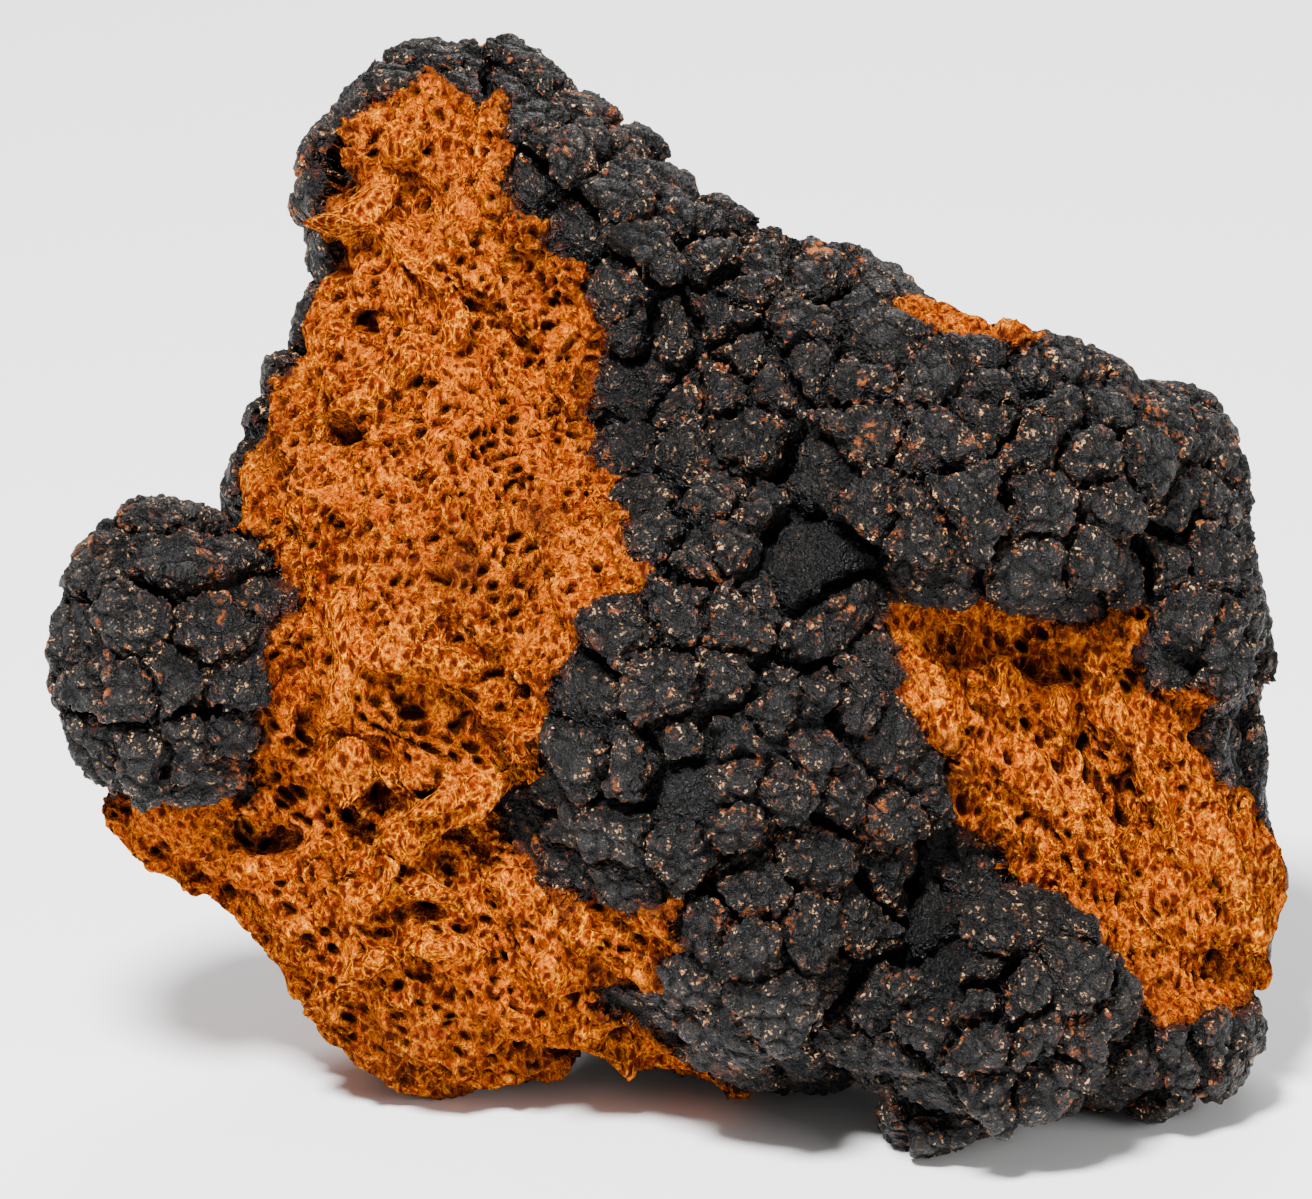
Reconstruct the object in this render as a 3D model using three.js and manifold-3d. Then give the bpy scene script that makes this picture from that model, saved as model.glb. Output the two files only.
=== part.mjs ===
// A broken chunk of chaga, the black conk that grows on birch.
// One natural body: cracked charcoal crust blocks over corky orange flesh,
// with a torn face on its left and a scoop of bare flesh on its lower right.
//
// Sketch measures are in mm as the chunk is seen from its front, a little from
// above: x from its left edge, y down from its top, t towards the viewer.

import * as THREE from 'three';
import { ConvexHull } from 'three/addons/math/ConvexHull.js';
import { mergeVertices } from 'three/addons/utils/BufferGeometryUtils.js';
import Module from 'manifold-3d';

const wasm = await Module();
wasm.setup();

// Overall stance
const LEAN_DEG = 19;
const SKETCH_MIDDLE = { x: 66, y: 60 };
const REST_HEIGHT = -47.6;

// Crust and flesh
const BLEND = 6;
const CARVE_BLEND = 4;
const PLATE_CAP = 1.2;
const PLATE_TILT = 0.1;
const NARROW_CRACK = { width: 0.8, depth: 1.1 };
const WIDE_CRACK = { width: 2.6, depth: 3.6 };
const FLESH_SEAM = { width: 0.6, depth: 0.6 };
const RIM_DROP = 0.9;
const TOP_INSET = 0.22;
const HIDDEN_PLATE_SPACING = 9.4;
const HIDDEN_BLOCK_SIZE = 22;
const HIDDEN_TRIES = 1500;
const FLESH_SPACING = 3.1;
const FLESH_TRIES = 12000;
const FOLD_HEIGHT = 0.8;
const KNOT_HEIGHT = 0.9;
const PIT_SHARE = 0.2;
const PIT_DEPTH = 1.3;

// Rounded lumps that the chunk grew from: middle, half sizes and roll
const LUMPS = [
  { name: 'upper limb', at: [43, 31, -6], half: [13, 25, 15], roll: 10 },
  { name: 'upper shoulder', at: [35, 16, -6], half: [6, 7, 8], roll: 20 },
  { name: 'crown', at: [42, 10.5, -5], half: [7, 6.5, 8], roll: 0 },
  { name: 'left flank', at: [35, 45, -6], half: [11, 17, 14], roll: 22 },
  { name: 'ridge', at: [63.5, 28.5, -1], half: [11, 27, 15], roll: -42 },
  { name: 'saddle', at: [80, 37.5, -3], half: [17, 14, 16], roll: 25 },
  { name: 'core left', at: [44, 60, -3], half: [21, 29, 23], roll: 8 },
  { name: 'core middle', at: [76, 66, -2], half: [30, 35, 28], roll: 0 },
  { name: 'right', at: [101, 64, -7], half: [25, 26, 24], roll: 0 },
  { name: 'shelf', at: [97, 44, 10], half: [22, 12.5, 14], roll: 14 },
  { name: 'shelf lip', at: [95, 52, 18], half: [15, 7, 10], roll: 12 },
  { name: 'right knob', at: [115, 47, -2], half: [9, 8.5, 11], roll: 20 },
  { name: 'right brow', at: [117, 60, 6], half: [8, 9, 9], roll: 0 },
  { name: 'right low', at: [110, 87, -5], half: [18, 20, 17], roll: 0 },
  { name: 'low middle', at: [68, 88, 0], half: [24, 17.5, 20], roll: 0 },
  { name: 'low belly', at: [78, 99, 3], half: [13, 9.5, 12], roll: 0 },
  { name: 'low left', at: [37, 88, -4], half: [12, 24, 16], roll: -52 },
  { name: 'low heel', at: [43, 100.3, -3], half: [12, 8, 11], roll: 0 },
  { name: 'low right', at: [114.5, 103.2, 6], half: [10.5, 6.6, 9], roll: 0 },
  { name: 'back foot', at: [71, 92.8, -23.5], half: [14, 9, 9.5], roll: 0 },
  { name: 'front', at: [69, 70, 20], half: [16, 22, 12], roll: 0 },
  { name: 'low front', at: [75, 94, 19], half: [9, 9, 8], roll: 0 },
  { name: 'low tongue', at: [16, 82, -3], half: [7, 4, 8], roll: 20 },
  { name: 'neck', at: [28, 69, 2], half: [10, 10, 11], roll: 0 },
  { name: 'left lobe', at: [16, 65.5, 9], half: [11, 14.5, 12], roll: 0 },
  { name: 'base lobe', at: [97.5, 99, 16], half: [13.5, 11.5, 12], roll: 0 },
  { name: 'tip', at: [93, 107, 10], half: [6, 7, 7], roll: 0 },
];

// Hollows that broke or rotted out of it
const HOLLOWS = [
  { name: 'top hollow', at: [38, 17, 12], half: [6.5, 9, 8], roll: 15 },
  { name: 'pocket', at: [42, 68, 26], half: [8, 8, 8], roll: 10 },
  { name: 'fold gap', at: [39, 79, 22], half: [7, 3.5, 10], roll: 20 },
  { name: 'under the neck', at: [25, 84, 16], half: [9, 4, 9], roll: -20 },
  { name: 'left pit', at: [36, 31, 15], half: [5, 5, 6], roll: 0 },
  { name: 'scoop', at: [108, 76, 29], half: [16, 19, 17], roll: -25 },
  { name: 'low gap', at: [88.5, 91, 32], half: [3, 13, 12], roll: 41 },
  { name: 'low fold', at: [73, 85, 31], half: [8, 1.8, 9], roll: -30 },
  { name: 'under the shelf', at: [98, 63.5, 25], half: [13, 4, 10], roll: 8 },
  { name: 'undercut', at: [48, 112, 24], half: [22, 11, 18], roll: 0 },
  { name: 'ridge groove', at: [55, 22, 19], half: [2.5, 11, 9], roll: -42 },
  { name: 'shelf groove', at: [70, 46, 27], half: [10, 2, 8], roll: 0 },
];

// Crust plates seen from the front, in the blocks that wide cracks part: x, y, lift
const PLATE_BLOCKS = {
  topRidge: [[53.2, 6.3, 1.5], [58.5, 9.2, 1], [50.8, 10.8, 0.5], [55.5, 14.5, 1.5], [63, 12.5, 1],
    [66.3, 16, 0.5], [61, 18.5, 1], [64, 23.8, 1], [68.5, 20.5, 0.5], [49, 6.8, 0]],
  ridgeSlab: [[51.8, 17.8, 0.5], [56.5, 22.5, 0.8], [60.8, 28, 0.8], [61.8, 33, 0]],
  saddleNodules: [[72.5, 20, 1], [76.3, 22.3, 0.5]],
  saddleBlock: [[70.8, 24.3, 1], [76.3, 26, 0.5], [80.3, 26.8, 0.5]],
  middleBlock: [[73.8, 27.8, 1.5], [79.2, 31.2, 1.5], [71.5, 31, 1], [79.8, 35.8, 0]],
  middleLeft: [[66, 33.2, 1], [63.6, 37.6, -0.5], [61, 38, -0.5]],
  dome: [[73.6, 34.6, 1.5], [76, 37.8, 1], [71.2, 38, 1.5], [73.5, 42.2, 1], [67.3, 39.5, 1],
    [67, 43.8, 0.3], [61, 43, 0.3]],
  shelfLeft: [[84.6, 29.3, 0.3], [87, 33.8, 1], [84.8, 37.6, 1.5], [85, 42.3, 2], [81, 46.2, -1],
    [93.2, 43.6, 2], [94.8, 50, 2.5], [91, 52, 1.8], [85.4, 50.4, 1], [91.5, 56.6, 0.5],
    [92.2, 36.8, 1], [97.6, 37.8, 0.8], [96.6, 41.2, 0.8], [97, 34.3, 0.5]],
  shelfRight: [[102.5, 44.2, 1.2], [103.2, 50, 1.5], [102.4, 56.3, 1.2], [107.6, 45, 1], [105.6, 39.8, 1],
    [109.6, 50.2, 1], [108.3, 54.6, 1], [112, 57, 1.2], [107.2, 59.6, 0.3]],
  shelfCrest: [[102.2, 36.2, 0.3], [106, 36, 0.5], [109, 39, 0]],
  rightKnob: [[112.4, 37.4, 0.5], [116, 40.6, 1], [121.5, 44.2, 1], [114.8, 45.6, 0.8], [121.6, 49, 0.8],
    [117.2, 49.8, 0.3]],
  rightBrow: [[115.8, 55.4, 1], [120.6, 54.4, 1], [124.4, 54, 0], [117.6, 61, 1.5], [121.6, 63.2, 1.5],
    [115, 65.4, -0.5]],
  rightRim: [[125, 61.4, 0.3], [123.6, 68.4, 0], [122.6, 73.8, 0], [126.6, 76.6, 0]],
  centreTop: [[63.2, 48.6, 0.3], [64.7, 52.8, 0.8]],
  centreUpper: [[70.4, 49, 0.8], [75, 50, 0.5], [72.6, 54, 1], [68.6, 54.6, 0.3]],
  darkRecess: [[78.4, 52.8, -1], [78.2, 57.4, -1], [82.8, 55, -2.2]],
  centreFace: [[60.8, 62, 1.5], [67.4, 59.8, 0.8], [72.2, 61, 1.8], [75.4, 58.4, 0.3], [65.6, 67.4, 2.2],
    [72, 67.2, 0.8], [67.6, 72.8, 0.3]],
  centreLeft: [[57.4, 68, -0.3], [56.8, 74.2, 0.8], [62, 76.2, 1], [53.2, 77.6, 0]],
  centreLow: [[71.8, 73, 0.8], [76.2, 69, 1], [80.8, 68.8, 0.8], [80.4, 74.2, 0.8], [67.4, 77.8, -1],
    [72.6, 76.8, 0.4], [77.4, 78.4, 1], [72.6, 81.6, 1], [67.2, 84.2, 0.6], [61, 82.8, 0.6],
    [55.2, 82.6, 0.2], [51.2, 81.6, -0.3], [55.6, 86, -0.3], [61.6, 88, -0.2]],
  besideScoop: [[80.2, 62.6, 0.3], [84.4, 60.8, 0], [87.4, 64.6, 0.3], [84.4, 69.2, 0.8], [88, 73.4, 0.8],
    [92, 77, 0.8], [83.4, 78.6, 0.8], [88.6, 80.4, 1.4], [88.4, 86.6, 1]],
  lowFace: [[74.8, 87.2, 0.8], [80.4, 84, 1], [79.8, 91.6, 1.5], [84.8, 90.6, 1.5], [82.2, 96.6, 0]],
  lowLeftFace: [[74.2, 93.6, 1.2], [76.2, 98.8, 1.2], [70.6, 101.8, 1], [67.2, 97.2, 0.4],
    [63.8, 99.4, -0.2], [68.8, 92.6, 0]],
  lowGap: [[91.6, 93.4, -1.5], [92.6, 87.6, -1.5], [96.4, 85.4, -0.5]],
  bottomMiddle: [[85.6, 98.8, 0], [83.2, 103.6, 0.8], [78.4, 104.8, 0.2], [73, 106.2, 0.4], [80, 108.8, -0.5]],
  bottomRight: [[111, 100.4, 0.6], [112.6, 105.8, 0.8], [117.2, 104.6, 0.6], [108.4, 106.2, 0.2],
    [110.6, 108.6, 0]],
  cornerRight: [[121, 102.8, 0.4], [124.6, 102, 0.4], [122.2, 107.6, 0.4], [117, 110.6, 0.2]],
  crownTip: [[41.6, 4.2, 0.6], [38.4, 6.2, 0.4], [46, 6.6, -0.3]],
  crownLeft: [[32.6, 9.6, 0.4], [29.2, 12.2, 0.4]],
  leftNodules: [[29.4, 19, 1], [30.6, 23.4, 1], [28.2, 30.6, 0.4]],
  lowerLeftNodules: [[25.2, 37, 1], [23.4, 40.6, 1], [22.2, 44.6, 1]],
  lobeTop: [[17, 50.8, 1.2], [8.8, 56, 1], [16, 55.8, 1.2], [22.8, 54.4, 0.6], [25.6, 58, 0.2]],
  lobeMiddle: [[13.6, 60.8, 1.2], [6.4, 62.6, 0.6], [19.6, 62.6, 1.4], [22.2, 67.6, 1], [16.8, 67, 1.2],
    [12.6, 68.4, 1.2], [7.8, 67.6, 0.8]],
  lobeLow: [[13.6, 74.4, 0.8], [18.2, 74, 1], [21.8, 73.2, 0.6], [8.6, 73.4, 0], [21.6, 77.4, 0]],
  baseTop: [[97.4, 91.6, 1], [102.6, 90.4, 1.5], [96, 95.2, 0.6], [91.6, 93.4, 0]],
  baseFace: [[96.2, 98.6, 1.2], [101, 97.8, 1.2], [105.6, 97.2, 1], [106.6, 102.4, 1], [96.8, 102.8, 1.5],
    [102.2, 102.2, 1.4], [91.2, 101.2, 1], [90.6, 97.2, 0.3], [97.4, 107.2, 1.2], [103.2, 106.4, 1]],
  baseLeft: [[88, 104.2, 0.8], [85.6, 108, -0.5], [91.8, 108.4, -0.5], [87.8, 111.8, 0.2]],
  baseTip: [[94, 113, 0.8], [99.4, 111.6, 0.4], [105.2, 110.4, 0.2]],
};

// Spots where the bare flesh shows from the front: x, y
const FLESH_SPOTS = {
  alongRidge: [[43.6, 9], [48, 10.6], [47.2, 14.2], [47.6, 19.6], [50.6, 23.4], [54, 27.6], [56.2, 31.8],
    [55.6, 37.6], [54.8, 42.6], [56.6, 48], [58.6, 53], [60, 56.4]],
  alongCentre: [[55.4, 60.4], [52.4, 66.2], [51.4, 71.6], [48.6, 75.6], [46.4, 81.4], [49.6, 86.6],
    [54.6, 90.6], [60, 92.4], [64.4, 91.6], [62, 96], [60.6, 102.4], [65.4, 105.8], [69.6, 109.6]],
  alongLeft: [[38.4, 10.4], [34, 14.4], [33.4, 20], [34.4, 26.4], [31.6, 33], [28.6, 38.6], [26.6, 45],
    [25.4, 50], [29.2, 54.2], [30.6, 59.6], [29.8, 66], [28.8, 71], [26.4, 77], [22.6, 81.2],
    [14, 81.6], [17.6, 86.4]],
  tornFace: [[41, 16], [40.6, 24], [46, 28], [48, 36], [40, 34], [35, 42], [44, 44], [50, 50], [40, 52],
    [46, 60], [37, 61], [44, 68], [36, 70], [41, 77], [33, 80], [28, 86], [38, 87], [23, 91], [45, 92],
    [33, 96], [52, 96], [40, 100], [30, 101], [48, 104], [36, 106], [55, 105], [42, 108]],
  scoopEdge: [[90.8, 62], [95.8, 64.6], [100.4, 63.8], [105.4, 64], [110.6, 62.6], [111, 68], [116, 71.4],
    [119.6, 78.4], [124.6, 82.6], [127, 88], [126.4, 94], [122.4, 98.4], [116.8, 98.6], [112, 95.2],
    [109, 91], [104.4, 85], [99.2, 81], [96.2, 75.6], [93.4, 70.6], [91.4, 66.6]],
  scoopMiddle: [[102, 72], [108, 78], [114, 84], [118, 90], [104, 68]],
  crest: [[93.4, 30.8], [98.2, 32.2]],
};

// Hidden sides where the flesh is bare too
const BARE_SIDES = [
  { name: 'low left behind', at: [28, 96, -14], radius: 27 },
  { name: 'back scar', at: [92, 58, -33], radius: 19 },
];

const GOLDEN_TURN = Math.PI * (3 - Math.sqrt(5));
const CRUST_COLOUR = new THREE.Color(0x2b2a2d);
const FLESH_COLOUR = new THREE.Color(0xb8661a);

// A repeatable number from 0 to 1
function draw(seed) {
  const value = Math.sin(seed) * 43758.5453;
  return value - Math.floor(value);
}

function vector(values) {
  return new THREE.Vector3(values[0], values[1], values[2]);
}

function smoothMin(a, b, blend) {
  const overlap = Math.max(blend - Math.abs(a - b), 0) / blend;
  return Math.min(a, b) - overlap * overlap * blend * 0.25;
}

function prepare(lumps) {
  return lumps.map((lump) => {
    const roll = THREE.MathUtils.degToRad(lump.roll);
    return { at: lump.at, half: lump.half, cos: Math.cos(roll), sin: Math.sin(roll) };
  });
}

function lumpDistance(point, lump) {
  const x = point.x - lump.at[0];
  const y = point.y - lump.at[1];
  const u = (lump.cos * x + lump.sin * y) / lump.half[0];
  const v = (lump.cos * y - lump.sin * x) / lump.half[1];
  const w = (point.z - lump.at[2]) / lump.half[2];
  const ratio = Math.hypot(u, v, w);
  const slope = Math.hypot(u / lump.half[0], v / lump.half[1], w / lump.half[2]);
  return ratio * (ratio - 1) / Math.max(slope, 1e-6);
}

// The smooth form of one body: its lumps run together, less its hollows
function formOf(lumps, hollows) {
  const grown = prepare(lumps);
  const lost = prepare(hollows);
  return (point) => {
    let distance = 1000;
    for (const lump of grown) {
      distance = smoothMin(distance, lumpDistance(point, lump), BLEND);
    }
    for (const hollow of lost) {
      distance = -smoothMin(-distance, lumpDistance(point, hollow), CARVE_BLEND);
    }
    return distance;
  };
}

const form = formOf(LUMPS, HOLLOWS);

// Lines of growth leave every lump outwards, as from charges at their middles,
// so that each line meets the surface once and lobes get their fair share of lines
const SOURCES = LUMPS.map((lump) => ({
  at: vector(lump.at),
  strength: Math.cbrt(lump.half[0] * lump.half[1] * lump.half[2]),
}));
const HEART = new THREE.Vector3(70, 64, 0);
const OUTER_RADIUS = 110;
const LINE_STEP = 1.6;

function growthAt(point) {
  const growth = new THREE.Vector3();
  for (const source of SOURCES) {
    const x = point.x - source.at.x;
    const y = point.y - source.at.y;
    const z = point.z - source.at.z;
    const gap = Math.hypot(x, y, z) + 0.01;
    const pull = source.strength / (gap * gap * gap);
    growth.x += x * pull;
    growth.y += y * pull;
    growth.z += z * pull;
  }
  return growth.normalize();
}

function stepAlong(point, length) {
  const halfway = point.clone().addScaledVector(growthAt(point), length / 2);
  return point.clone().addScaledVector(growthAt(halfway), length);
}

// The direction in which the line of growth through a point leaves the chunk
function directionOf(start) {
  let point = start.clone();
  while (point.distanceTo(HEART) < OUTER_RADIUS) {
    point = stepAlong(point, LINE_STEP);
  }
  return point.sub(HEART).normalize();
}

// The outermost point of a line of growth where a height function is zero
function surfacePoint(direction, heightAt) {
  let outer = direction.clone().multiplyScalar(OUTER_RADIUS).add(HEART);
  let inner = outer;
  let height = form(outer);
  for (let count = 0; count < 200 && height > 0; count += 1) {
    outer = inner;
    const far = height > 12 ? 4 : 1;
    inner = stepAlong(outer, -LINE_STEP * far);
    height = form(inner) > 12 ? form(inner) : heightAt(inner);
  }
  const low = inner.clone();
  const high = outer.clone();
  for (let pass = 0; pass < 11; pass += 1) {
    const half = low.clone().lerp(high, 0.5);
    if (heightAt(half) > 0) {
      high.copy(half);
    } else {
      low.copy(half);
    }
  }
  return low;
}

function atLevel(level) {
  return (point) => form(point) - level;
}

function outwardAt(point) {
  const small = 0.4;
  const slope = new THREE.Vector3();
  for (const axis of ['x', 'y', 'z']) {
    const ahead = point.clone();
    const behind = point.clone();
    ahead[axis] += small;
    behind[axis] -= small;
    slope[axis] = form(ahead) - form(behind);
  }
  return slope.normalize();
}

// The point of the front that the viewer sees at x, y
function frontPoint(x, y) {
  const point = new THREE.Vector3(x, y, 45);
  let nearest = point.clone();
  let least = Infinity;
  for (let t = 45; t > -30; t -= 0.25) {
    point.z = t;
    const distance = form(point);
    if (distance < 0) {
      return point.clone();
    }
    if (distance < least) {
      least = distance;
      nearest = point.clone();
    }
  }
  return nearest;
}

const sites = [];

function addSite(point, details) {
  sites.push({ point, direction: directionOf(point), ...details });
}

function nearestSite(among, point, kinds) {
  let found = null;
  let least = Infinity;
  for (const site of among) {
    if (kinds.includes(site.kind)) {
      const gap = site.point.distanceTo(point);
      if (gap < least) {
        least = gap;
        found = site;
      }
    }
  }
  return { site: found, gap: least };
}

function isBareSide(point) {
  return BARE_SIDES.some((side) => point.distanceTo(vector(side.at)) < side.radius);
}

// Even directions all round, by the golden turn
function evenDirections(count) {
  return Array.from({ length: count }, (_, index) => {
    const height = 1 - (2 * index + 1) / count;
    const across = Math.sqrt(1 - height * height);
    const turn = index * GOLDEN_TURN;
    return new THREE.Vector3(across * Math.cos(turn), across * Math.sin(turn), height);
  });
}

// Plates and flesh spots of the front, then the hidden sides by rule
function placeSites() {
  for (const [block, plates] of Object.entries(PLATE_BLOCKS)) {
    for (const [x, y, lift] of plates) {
      addSite(frontPoint(x, y), { kind: 'plate', block, lift });
    }
  }
  for (const spots of Object.values(FLESH_SPOTS)) {
    for (const [x, y] of spots) {
      addSite(frontPoint(x, y), { kind: 'spot', block: 'flesh', lift: 0 });
    }
  }
  evenDirections(HIDDEN_TRIES).forEach((direction, count) => {
    const point = surfacePoint(direction, atLevel(0));
    const near = nearestSite(sites, point, ['plate', 'spot']);
    if (near.gap < HIDDEN_PLATE_SPACING * (0.9 + 0.2 * draw(count))) {
      return;
    }
    const out = outwardAt(point);
    let kind = isBareSide(point) ? 'spot' : 'plate';
    if (out.z > 0.3) {
      kind = near.site.kind;
    }
    const cell = point.clone().divideScalar(HIDDEN_BLOCK_SIZE).round();
    const block = kind === 'plate' ? `hidden ${cell.x} ${cell.y} ${cell.z}` : 'flesh';
    addSite(point, { kind, block, lift: 0.4 + 0.9 * draw(count + 0.5) });
  });
}

// Flesh points, spaced evenly wherever a flesh spot is nearer than any plate
function fleshPoints() {
  const points = [];
  const plates = sites.filter((site) => site.kind === 'plate');
  const plateSpacing = new Map(plates.map((plate) => {
    const others = plates.filter((other) => other !== plate);
    return [plate, Math.min(8, nearestSite(others, plate.point, ['plate']).gap)];
  }));
  const isClear = (point, spacing) => {
    const near = nearestSite(plates, point, ['plate']);
    const farFromPlates = near.gap > 0.82 * plateSpacing.get(near.site);
    return farFromPlates && points.every((other) => other.point.distanceTo(point) > spacing);
  };
  for (const site of sites) {
    if (site.kind === 'spot' && isClear(site.point, FLESH_SPACING * 0.7)) {
      points.push(site);
    }
  }
  for (const direction of evenDirections(FLESH_TRIES)) {
    const point = surfacePoint(direction, atLevel(0));
    const near = nearestSite(sites, point, ['plate', 'spot']);
    if (near.site.kind === 'spot' && isClear(point, FLESH_SPACING)) {
      points.push({ point, direction, kind: 'flesh', lift: 0 });
    }
  }
  return points;
}

// Torn folds and pits of the flesh, as a height on the smooth form
function fleshRelief(point) {
  const along = 0.55 * point.x + 0.83 * point.y;
  const across = 0.83 * point.x - 0.55 * point.y + 0.6 * point.z;
  const folds = Math.sin(across * 0.68 + 1.6 * Math.sin(along * 0.19));
  const knots = Math.sin(point.x * 0.83) * Math.sin(point.y * 0.71 + 1) * Math.cos(point.z * 0.64);
  const chance = draw(Math.round(point.x * 40) + 0.37 * Math.round(point.y * 40));
  const pit = chance < PIT_SHARE ? -PIT_DEPTH : 0.5 * (chance - 0.6);
  return FOLD_HEIGHT * folds + KNOT_HEIGHT * knots + pit;
}

// The chunk as one closed mesh: each plate is a block between cracks
function growMesh() {
  const members = sites.filter((site) => site.kind === 'plate').concat(fleshPoints());
  const hull = new ConvexHull().setFromPoints(members.map((member) => member.direction));
  const order = new Map(members.map((member, index) => [member.direction, index]));
  const mesh = { positions: [], triangles: [] };
  const faces = hull.faces.map((face) => {
    const corners = [];
    let edge = face.edge;
    do {
      corners.push(order.get(edge.head().point));
      edge = edge.next;
    } while (edge !== face.edge);
    return { corners, turn: face.normal.clone().normalize() };
  });
  const faceAt = new Map();
  for (const face of faces) {
    const [a, b, c] = face.corners.map((corner) => members[corner]);
    const plates = [a, b, c].filter((member) => member.kind === 'plate').length;
    if (plates > 0) {
      const depths = [crackBetween(a, b), crackBetween(b, c), crackBetween(c, a)].map((crack) => crack.depth);
      const depth = Math.max(...depths) * (plates < 3 ? 0.5 : 1);
      face.floor = addVertex(mesh, surfacePoint(face.turn, atLevel(-depth)));
    }
    face.corners.forEach((corner, index) => {
      faceAt.set(`${corner} ${face.corners[(index + 1) % 3]}`, face);
    });
  }
  const fleshVertex = members.map((member) => {
    if (member.kind === 'plate') {
      return -1;
    }
    const relief = fleshRelief(member.point);
    return addVertex(mesh, surfacePoint(member.direction, atLevel(relief)));
  });
  for (const face of faces) {
    if (face.floor === undefined) {
      mesh.triangles.push(...face.corners.map((corner) => fleshVertex[corner]));
    }
    face.corners.forEach((corner, index) => {
      const next = face.corners[(index + 1) % 3];
      const isFlesh = fleshVertex[corner] >= 0;
      const nextIsFlesh = fleshVertex[next] >= 0;
      if (face.floor !== undefined && isFlesh && nextIsFlesh) {
        mesh.triangles.push(fleshVertex[corner], fleshVertex[next], face.floor);
      }
      if (isFlesh && !nextIsFlesh) {
        const other = faceAt.get(`${next} ${corner}`);
        mesh.triangles.push(fleshVertex[corner], other.floor, face.floor);
      }
    });
  }
  const starts = new Map([...faceAt.keys()].map((key) => key.split(' ').map(Number)));
  members.forEach((member, index) => {
    if (member.kind === 'plate' && starts.has(index)) {
      addPlate(mesh, members, index, faceAt, starts.get(index));
    }
  });
  return mesh;
}

function addVertex(mesh, point) {
  mesh.positions.push(point.x, point.y, point.z);
  return mesh.positions.length / 3 - 1;
}

function crackBetween(first, second) {
  if (first.kind !== 'plate' || second.kind !== 'plate') {
    return FLESH_SEAM;
  }
  return first.block === second.block ? NARROW_CRACK : WIDE_CRACK;
}

// The faces round a site, in turn, with the two neighbours that each one touches
function facesRound(members, index, faceAt, first) {
  const ring = [];
  let neighbour = first;
  do {
    const face = faceAt.get(`${index} ${neighbour}`);
    const third = face.corners.find((corner) => corner !== index && corner !== neighbour);
    ring.push({ face, sides: [members[neighbour], members[third]] });
    neighbour = third;
  } while (neighbour !== first);
  return ring;
}

const facings = new Map();

// The way that a block of plates faces as a whole
function blockFacing(members, block) {
  if (!facings.has(block)) {
    const sum = new THREE.Vector3();
    for (const member of members) {
      if (member.block === block) {
        sum.add(outwardAt(member.point));
      }
    }
    facings.set(block, sum.normalize());
  }
  return facings.get(block);
}

// A plate: a tilted top, a worn rim and walls down to the cracks round it
function addPlate(mesh, members, index, faceAt, first) {
  const plate = members[index];
  const ring = facesRound(members, index, faceAt, first);
  const tilt = new THREE.Vector3(draw(index + 0.1), draw(index + 0.2), draw(index + 0.3)).subScalar(0.5);
  const block = blockFacing(members, plate.block);
  const up = outwardAt(plate.point).add(block).addScaledVector(tilt, 4 * PLATE_TILT).normalize();
  const topHeight = (drop) => (point) => {
    const lift = plate.lift - drop;
    const flat = point.clone().sub(plate.point).dot(up) - lift;
    const above = form(point) - lift;
    return Math.min(Math.max(above - PLATE_CAP, flat), above + PLATE_CAP);
  };
  const addInset = (turn, share, drop) => {
    const direction = turn.clone().lerp(plate.direction, share).normalize();
    return addVertex(mesh, surfacePoint(direction, topHeight(drop)));
  };
  const centre = addInset(plate.direction, 0, 0);
  const rims = [];
  const tops = [];
  for (const { face, sides } of ring) {
    const widest = Math.max(...sides.map((side) => crackBetween(plate, side).width));
    const size = surfacePoint(face.turn, atLevel(0)).distanceTo(plate.point);
    const share = Math.min(0.42, 0.6 * widest / size);
    rims.push(addInset(face.turn, share, RIM_DROP));
    tops.push(addInset(face.turn, share + TOP_INSET, 0));
  }
  ring.forEach((around, corner) => {
    const next = (corner + 1) % ring.length;
    const low = around.face.floor;
    const lowNext = ring[next].face.floor;
    mesh.triangles.push(rims[corner], low, lowNext, rims[corner], lowNext, rims[next]);
    mesh.triangles.push(tops[corner], rims[corner], rims[next], tops[corner], rims[next], tops[next]);
    mesh.triangles.push(centre, tops[corner], tops[next]);
  });
}

// From sketch measures to the part's own frame, with Z up
function standUp(positions) {
  const lean = THREE.MathUtils.degToRad(LEAN_DEG);
  const placed = new Float32Array(positions.length);
  for (let index = 0; index < positions.length; index += 3) {
    const right = positions[index] - SKETCH_MIDDLE.x;
    const up = SKETCH_MIDDLE.y - positions[index + 1];
    const near = positions[index + 2];
    placed[index] = right;
    placed[index + 1] = up * Math.sin(lean) - near * Math.cos(lean);
    placed[index + 2] = up * Math.cos(lean) + near * Math.sin(lean);
  }
  return placed;
}

function solidOf(positions, triangles) {
  return new wasm.Manifold(new wasm.Mesh({
    numProp: 3,
    vertProperties: positions,
    triVerts: new Uint32Array(triangles),
  }));
}

// The largest closed surface, so that a gap sealed between bodies is filled
function outerBody(solid) {
  return solid.decompose().reduce((largest, piece) => {
    return piece.volume() > largest.volume() ? piece : largest;
  });
}

placeSites();
const grown = growMesh();
const turned = [];
for (let index = 0; index < grown.triangles.length; index += 3) {
  turned.push(grown.triangles[index], grown.triangles[index + 2], grown.triangles[index + 1]);
}
const chunk = solidOf(standUp(grown.positions), turned);

// Worn flat spots where it rests
const groundBox = new THREE.BoxGeometry(400, 400, 60);
groundBox.translate(0, 0, REST_HEIGHT - 30);
groundBox.deleteAttribute('normal');
groundBox.deleteAttribute('uv');
const ground = mergeVertices(groundBox);
const rested = outerBody(chunk.subtract(solidOf(
  new Float32Array(ground.attributes.position.array),
  ground.index.array,
)));

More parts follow.
